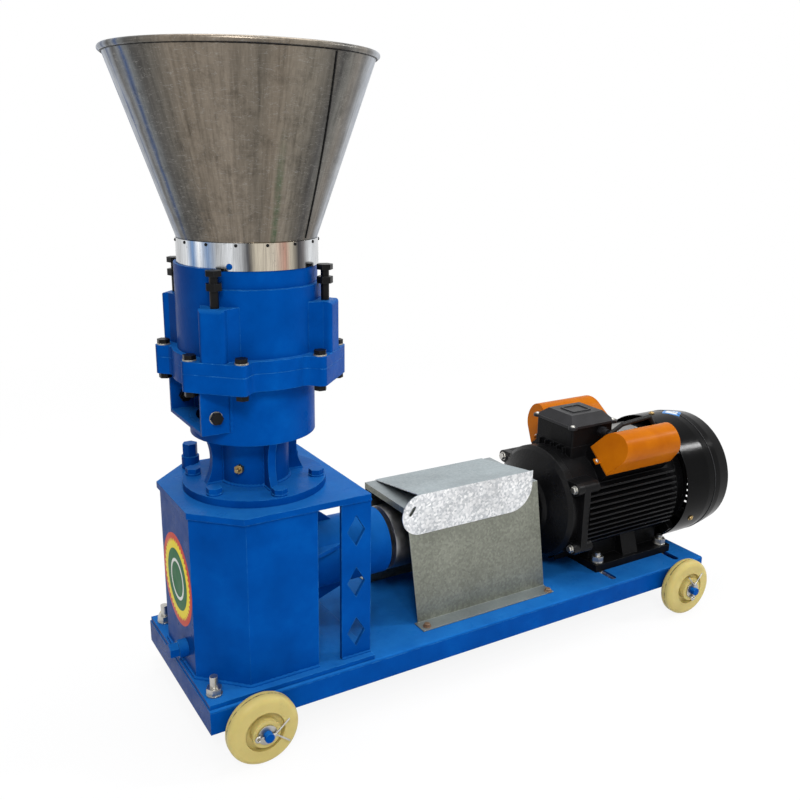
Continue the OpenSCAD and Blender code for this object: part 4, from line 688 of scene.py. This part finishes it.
def cone_radius(z):
    """Outer radius of the cone at a height."""
    return CONE_LOW_R + (z - CONE_LOW_Z) / CONE_RISE * (CONE_HIGH_R - CONE_LOW_R)


def on_cone(turn, z, lift):
    """A point a little above the cone's sheet, turn in radians."""
    r = cone_radius(z) + lift
    return HEAD_X + r * math.cos(turn), r * math.sin(turn), z


def seam_turn(share):
    """Azimuth of the lapped seam's left edge, from 0 at the foot to 1 at the rim."""
    return SEAM_LOW + share * (SEAM_HIGH - SEAM_LOW)


def neck_trim():
    """A ring of rivets at the neck's top and a spot of blue paint below it."""
    bm = bmesh.new()
    for k in range(RIVET_COUNT):
        out = from_head(FIRST_RIVET + 360 / RIVET_COUNT * k)
        add_button(bm, RIVET, Vector((HEAD_X, 0, RIVET_Z)) + out * RIVET_REACH, out, 16)
    from_bmesh("hopper_rivets", bm, black_oxide, "hopper")

    bm = bmesh.new()
    out = from_head(SPOT_AZIMUTH)
    sunk = 0.2 * MM
    add_button(bm, PAINT_SPOT, Vector((HEAD_X, 0, SPOT_Z)) + out * (neck_high.y - sunk), out, 24)
    from_bmesh("neck_paint_spot", bm, paint_cast, "hopper")


def cone_seam():
    """The lapped strip of the cone's seam, with a dark bead of painted shadow along its left edge."""
    bm = bmesh.new()
    rows = []
    steps = 24
    for k in range(steps + 1):
        share = k / steps
        z = CONE_LOW_Z + 2 * MM + share * (CONE_RISE - 6 * MM)
        wide = SEAM_WIDE * (1 + 0.15 * math.sin(share * 3))
        left = seam_turn(share)
        rows.append([bm.verts.new(on_cone(left + wide * across, z, lift * MM)) for across, lift in SEAM_STRIP])
    for low, high in zip(rows, rows[1:]):
        join_rows(bm, low, high, closed=False)
    from_bmesh("hopper_seam", bm, steel_sheet, "hopper", 20)

    bm = bmesh.new()
    line = []
    steps = 59
    for k in range(steps + 1):
        share = k / steps
        z = CONE_LOW_Z + 3 * MM + share * (CONE_RISE - 8 * MM)
        line.append(on_cone(seam_turn(share) - math.radians(0.3), z, 0.4 * MM))
    add_bead(bm, line, 0.75 * MM, step=0.003, sides=6)
    from_bmesh("hopper_seam_edge", bm, black_oxide, "hopper", 60)


def rim_edge():
    """A ragged dark line of painted shade under the rolled rim."""
    bm = bmesh.new()
    z = CONE_HIGH_Z - 3.4 * MM
    edge = circle_points(Vector((HEAD_X, 0, z)), cone_radius(z) + 0.9 * MM, (0, 0, 1), 180)
    add_bead(bm, edge, 0.9 * MM, closed=True, step=0.004, sides=6)
    from_bmesh("hopper_rim_edge", bm, black_oxide, "hopper", 60)


# Screws, plate and label of the guard and motor; the guard's feet in millimetres for at(), turns in degrees
GUARD_FEET = ((215, -87), (431, -91), (215, 84), (431, 88))
EAR_X, EAR_Y, EAR_UP = bell_high.x - 10.64 * MM, 88 * MM, 48 * MM
LID_SCREW_REACH = 41.8 * MM
LID_SCREW_Z = lid_low.z + 4 * MM
FIN_SCREW_TURNS = (132, 48)
FIN_SCREW_ALONG = (44.5 * MM, 192.5 * MM)
FIN_SCREW_REACH = 107.5 * MM
COVER_SCREW_TURNS = (84, 207, 330)
COVER_SCREW_X = cover_low.x + 26 * MM
COVER_RING_X = cover_low.x + 66 * MM
PLATE_X, PLATE_Y, PLATE_Z = HEAD_X + 655 * MM, 7 * MM, DRIVE_Z + 93.6 * MM
PLATE_HALF_L, PLATE_HALF_W, PLATE_RIVET_IN = 24 * MM, 17 * MM, 2.6 * MM
DIAMOND_X = HEAD_X + 768 * MM
COVER_WASHER = [(0, 0), (5.2, 0), (5.2, 0.9), (0, 0.9)]
PLATE_RIVET = [(0, 0), (1.3, 0), (1.1, 0.6), (0, 0.9)]
# How far the fan cover's radius has fallen, by the share of its length
COVER_FALL = [(0, 0), (0.455, 0), (0.71, 2 * MM), (0.93, 6.5 * MM), (1, 18 * MM)]


def guard_screws():
    """Rusty screws on the guard's feet."""
    bm = bmesh.new()
    for x, y in GUARD_FEET:
        add_hex_head(bm, at(x, y, 1.5), (0, 0, 1), 8 * MM, 3.5 * MM, 6 * MM)
    from_bmesh("guard_foot_screws", bm, rusty, "frame")


def from_drive(degrees):
    """Unit direction from the drive axis, in degrees from +Y towards +Z."""
    a = math.radians(degrees)
    return Vector((0, math.cos(a), math.sin(a)))


def cover_radius(x):
    """Radius of the fan cover at a place along it."""
    share = (x - cover_low.x) / (cover_high.x - cover_low.x)
    for (a, low), (b, high) in zip(COVER_FALL, COVER_FALL[1:]):
        if share <= b:
            break
    return (cover_high.z - cover_low.z) / 2 - low - (high - low) * (share - a) / (b - a)


def on_cover(x, degrees, out=0.0):
    """A place on the fan cover, or above it."""
    return Vector((x, 0, DRIVE_Z)) + from_drive(degrees) * (cover_radius(x) + out)


def motor_screws():
    """Bolts of the front bell's ears, screws of the terminal lid and fins, and brass screws of the fan cover."""
    bm = bmesh.new()
    sides = (-1, 1)
    for sy in sides:
        for sz in sides:
            place = Vector((EAR_X, sy * EAR_Y, DRIVE_Z + sz * EAR_UP))
            add_hex_head(bm, place, (-1, 0, 0), 10 * MM, 4.5 * MM, 7 * MM)
    middle = (lid_low + lid_high) / 2
    for sx in sides:
        for sy in sides:
            place = Vector((middle.x + sx * LID_SCREW_REACH, middle.y + sy * LID_SCREW_REACH, LID_SCREW_Z))
            add_pan_head(bm, place, (0, 0, 1), 3.6 * MM)
    motor_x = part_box("motor_frame")[0].x
    for degrees in FIN_SCREW_TURNS:
        out = from_drive(degrees)
        for along in FIN_SCREW_ALONG:
            place = Vector((motor_x + along, 0, DRIVE_Z)) + out * FIN_SCREW_REACH
            add_pan_head(bm, place, out, 3.2 * MM)
    from_bmesh("motor_screws", bm, zinc_plate, "frame")

    bm = bmesh.new()
    for degrees in COVER_SCREW_TURNS:
        out = from_drive(degrees)
        place = on_cover(COVER_SCREW_X, degrees)
        add_button(bm, COVER_WASHER, place, out, 24)
        add_pan_head(bm, place + out * (0.8 * MM), out, 3.8 * MM)
    from_bmesh("cover_screws", bm, brass, "frame")


def cover_ring():
    """A thin ridge moulded round the fan cover."""
    bm = bmesh.new()
    centre = Vector((COVER_RING_X, 0, DRIVE_Z))
    ring = circle_points(centre, cover_radius(COVER_RING_X) + 0.1 * MM, (1, 0, 0), 180)
    add_bead(bm, ring, 0.8 * MM, closed=True, lumpy=0.0)
    from_bmesh("cover_ring", bm, black_lid, "frame", 60)


def fin_plate():
    """A blank silver plate with four rivets on the top fins."""
    corners = ((-1, -1), (1, -1), (1, 1), (-1, 1))
    bm = bmesh.new()
    low, high = (
        [bm.verts.new((PLATE_X + sx * PLATE_HALF_L, PLATE_Y + sy * PLATE_HALF_W, level)) for sx, sy in corners]
        for level in (PLATE_Z - 0.1 * MM, PLATE_Z + 0.9 * MM)
    )
    bm.faces.new(high)
    bm.faces.new(low)
    join_rows(bm, low, high)
    bmesh.ops.bevel(bm, geom=list(bm.edges), offset=0.3 * MM, segments=2, affect="EDGES")
    for sx, sy in corners:
        x = PLATE_X + sx * (PLATE_HALF_L - PLATE_RIVET_IN)
        y = PLATE_Y + sy * (PLATE_HALF_W - PLATE_RIVET_IN)
        add_button(bm, PLATE_RIVET, Vector((x, y, PLATE_Z + 0.8 * MM)), (0, 0, 1), 12)
    from_bmesh("blank_plate", bm, silver_plate, "frame")


def cover_patch(name, corners, lift, material):
    """A thin sheet on top of the fan cover, its edges down on it, all in millimetres."""
    steps = 10
    bm = bmesh.new()
    rows = []
    a, b, c, d = (Vector((*corner, 0)) * MM for corner in corners)
    for i in range(steps + 1):
        row = []
        for j in range(steps + 1):
            flat = a.lerp(b, i / steps).lerp(d.lerp(c, i / steps), j / steps)
            edge = i in (0, steps) or j in (0, steps)
            x = DIAMOND_X + flat.x
            degrees = 90 + math.degrees(flat.y / cover_radius(x))
            row.append(bm.verts.new(on_cover(x, degrees, 0.0 if edge else lift * MM)))
        rows.append(row)
    for low, high in zip(rows, rows[1:]):
        join_rows(bm, low, high, closed=False)
    from_bmesh(name, bm, material, "frame", 60)


def cover_label():
    """A plain two-tone diamond on the fan cover."""
    cover_patch("cover_diamond", ((-20, -3), (4, -20), (20, 4), (-2, 20)), 0.35, label_blue)
    cover_patch("cover_diamond_middle", ((-15, -2), (3, -15), (15, 3), (-1.5, 15)), 0.6, label_white)


# A plain round label of rings on the gearbox's end
LABEL_Z = DECK_Z + 117 * MM
LABEL_HALF_H = 61 * MM
LABEL_HALF_W = 55.4 * MM
LABEL_TEETH = 22


def end_label():
    """A sticker of plain rings with a saw-tooth border, squeezed to lie inside the end's cut corners."""
    s = Shader("ring_label", Roughness=0.36, Specular_IOR_Level=0.04)
    place = s.axes()
    u = s.math("DIVIDE", place[1], LABEL_HALF_W / LABEL_HALF_H)
    v = s.math("SUBTRACT", place[2], LABEL_Z)
    reach = s.math("SQRT", s.math("ADD", s.product(u, u), s.product(v, v)))
    share = s.math("DIVIDE", reach, LABEL_HALF_H)
    turn = s.product(s.math("ARCTAN2", v, u), LABEL_TEETH / math.pi)
    teeth = s.product(s.math("PINGPONG", turn, 0.5), 0.16)
    red, yellow, green, white = (0.50, 0.055, 0.03), (0.72, 0.58, 0.02), (0.004, 0.105, 0.028), (0.62, 0.64, 0.60)
    rings = s.ramp(share, [(0.0, green), (0.38, white), (0.45, green), (0.67, yellow)], "CONSTANT")
    made = s.mix(s.math("GREATER_THAN", s.math("ADD", share, teeth), 0.89), rings, red)
    wear_and_highlight = s.ramp(s.noise(120, 6, 0.7), [(0.64, 0.0), (0.72, 0.6)])
    s.into(s.mix(wear_and_highlight, made, (0.30, 0.32, 0.34)), "Base Color")
    s.into(s.ramp(s.noise(60, 5, 0.6), [(0.3, 0.3), (0.8, 0.46)]), "Roughness")

    bm = bmesh.new()
    inside = None
    count = 144
    angles = [2 * math.pi * k / count for k in range(count)]
    for r, out in ((0.5, 0.3), (0.97, 0.3), (1.0, 0.05)):
        x, half_w, half_h = box_low.x - out * MM, r * LABEL_HALF_W, r * LABEL_HALF_H
        row = [bm.verts.new((x, half_w * math.cos(a), LABEL_Z + half_h * math.sin(a))) for a in angles]
        if inside is None:
            bm.faces.new(row)
        else:
            join_rows(bm, row, inside)
        inside = row
    from_bmesh("end_label", bm, s.mat, "frame", 30)


# Beads draw random numbers, so the order of these calls matters
weld_pedestal()
weld_column()
neck_trim()
cone_seam()
rim_edge()
guard_screws()
motor_screws()
cover_ring()
fin_plate()
cover_label()
end_label()


# Stage: floor, soft light and camera
def background_share(tree):
    """1 for rays from the camera, off gloss and through glass, else 0."""
    path = tree.nodes.new("ShaderNodeLightPath")
    share = path.outputs["Is Camera Ray"]
    for name in ("Is Glossy Ray", "Is Transmission Ray"):
        most = tree.nodes.new("ShaderNodeMath")
        most.operation = "MAXIMUM"
        tree.links.new(share, most.inputs[0])
        tree.links.new(path.outputs[name], most.inputs[1])
        share = most.outputs[0]
    return share


def ranged(s, source, *levels):
    """A value mapped from one range to another, levels giving both."""
    made = s.node("ShaderNodeMapRange")
    s.link(source, made.inputs[0])
    for socket, level in zip(list(made.inputs)[1:], levels):
        socket.default_value = level
    return made.outputs[0]


# The floor glows for the camera: nine tenths of it within 0.9 m of the middle, all of it past 2.2 m
GLOW_RANGE = (0.9, 2.2, 0.9, 1.0)
# The shade under the deck: axis, its centre, and where it starts and stops to fade
DECK_SHADE = ((0, 0.0, 0.36, 0.41), (1, 0.02, 0.05, 0.08))


def floor():
    """A pale floor that the camera sees as white, save near the object and more so under its deck."""
    size = 12
    mesh = bpy.data.meshes.new("floor")
    mesh.from_pydata([(-size, -size, 0), (size, -size, 0), (size, size, 0), (-size, size, 0)], [], [(0, 1, 2, 3)])
    piece = bpy.data.objects.new("floor", mesh)
    bpy.context.scene.collection.objects.link(piece)

    s = Shader("pale_floor", Base_Color=(0.86, 0.86, 0.86, 1), Roughness=0.8)
    place = s.node("ShaderNodeNewGeometry").outputs["Position"]
    reach = s.node("ShaderNodeVectorMath", operation="LENGTH")
    s.link(place, reach.inputs[0])
    glow_share = ranged(s, reach.outputs["Value"], *GLOW_RANGE)
    under = 1.0
    for axis, centre, near, far in DECK_SHADE:
        away = s.math("ABSOLUTE", s.math("SUBTRACT", s.axes(place)[axis], centre))
        under = s.product(ranged(s, away, near, far, 1.0, 0.0), under)
    glow_share = s.math("SUBTRACT", glow_share, under, clamp=True)
    glow = s.node("ShaderNodeEmission")
    both = s.node("ShaderNodeMixShader")
    s.link(s.product(glow_share, background_share(s.tree)), both.inputs[0])
    s.link(s.bsdf.outputs[0], both.inputs[1])
    s.link(glow.outputs[0], both.inputs[2])
    s.link(both.outputs[0], s.tree.nodes["Material Output"].inputs["Surface"])
    mesh.materials.append(s.mat)


def sky():
    """White for the camera, and a soft room that is darker below for everything else."""
    world = bpy.data.worlds.new("studio")
    bpy.context.scene.world = world
    world.use_nodes = True
    tree = world.node_tree
    plain = tree.nodes["Background"]
    plain.inputs["Color"].default_value = (1, 1, 1, 1)
    plain.inputs["Strength"].default_value = 1.0
    room = tree.nodes.new("ShaderNodeBackground")
    room.inputs["Strength"].default_value = 0.75
    place = tree.nodes.new("ShaderNodeTexCoord")
    split = tree.nodes.new("ShaderNodeSeparateXYZ")
    ramp = tree.nodes.new("ShaderNodeValToRGB")
    line = ramp.color_ramp
    line.elements[0].position = 0.0
    line.elements[0].color = (0.20, 0.19, 0.18, 1)
    line.elements[1].position = 0.9
    line.elements[1].color = (1.0, 1.0, 1.02, 1)
    middle = line.elements.new(0.3)
    middle.color = (0.42, 0.42, 0.43, 1)
    tree.links.new(place.outputs["Generated"], split.inputs[0])
    tree.links.new(split.outputs[2], ramp.inputs[0])
    tree.links.new(ramp.outputs[0], room.inputs["Color"])
    both = tree.nodes.new("ShaderNodeMixShader")
    tree.links.new(background_share(tree), both.inputs[0])
    tree.links.new(room.outputs[0], both.inputs[1])
    tree.links.new(plain.outputs[0], both.inputs[2])
    tree.links.new(both.outputs[0], tree.nodes["World Output"].inputs["Surface"])


# Lamps: name, place, size and power
LAMPS = (
    ("spark", (-0.7, -2.3, 1.9), (0.12, 0.12), 10),
    ("key", (-1.5, -2.4, 2.6), (0.7, 0.7), 46),
    ("side", (2.6, -1.1, 2.0), (0.16, 0.5), 30),
    ("top", (0.2, 0.3, 3.0), (2.4, 1.6), 50),
    ("left", (-2.6, 0.6, 1.2), (0.5, 1.8), 2),
)
LAMP_TARGET = Vector((0, 0, 0.35))


def lamp(name, place, size, power):
    """An area lamp that looks at the object."""
    data = bpy.data.lights.new(name, "AREA")
    data.shape = "RECTANGLE"
    data.size, data.size_y = size
    data.energy = power
    piece = bpy.data.objects.new(name, data)
    bpy.context.scene.collection.objects.link(piece)
    piece.location = place
    piece.rotation_mode = "QUATERNION"
    piece.rotation_quaternion = (LAMP_TARGET - Vector(place)).to_track_quat("-Z", "Y")


# The fitted camera: focal length and picture width in pixels, turns in degrees, place from the deck's near left corner
FOCAL_PX = 888.6
PICTURE_PX = 800
SENSOR_MM = 36
YAW_PITCH_ROLL = (-31.41, -15.88, 0.93)
CAMERA_OFFSET = (-0.28715, -0.88997, 0.64708)


def camera():
    """The photograph's camera, found by fitting the deck, wheels and head."""
    data = bpy.data.cameras.new("camera")
    piece = bpy.data.objects.new("camera", data)
    bpy.context.scene.collection.objects.link(piece)
    bpy.context.scene.camera = piece
    data.sensor_width = SENSOR_MM
    data.lens = SENSOR_MM * FOCAL_PX / PICTURE_PX
    data.clip_start = 0.05
    data.clip_end = 60
    yaw, pitch, roll = (math.radians(degrees) for degrees in YAW_PITCH_ROLL)
    ahead = Vector((-math.sin(yaw) * math.cos(pitch), math.cos(yaw) * math.cos(pitch), math.sin(pitch)))
    right = ahead.cross(Vector((0, 0, 1))).normalized()
    up = right.cross(ahead)
    level = right * math.cos(roll) + up * math.sin(roll)
    above = up * math.cos(roll) - right * math.sin(roll)
    turn = Matrix((level, above, -ahead)).transposed().to_4x4()
    place = Vector((deck_low.x, deck_low.y, DECK_Z)) + Vector(CAMERA_OFFSET)
    piece.matrix_world = Matrix.Translation(place) @ turn


floor()
sky()
for name, place, size, power in LAMPS:
    lamp(name, place, size, power)
camera()
bpy.context.scene.view_settings.view_transform = "Standard"

# Smooth faces with sharp edges on the frame's pieces
for name, piece in nodes.items():
    piece.data.shade_smooth()
    piece.data.set_sharp_from_angle(angle=math.radians(32))
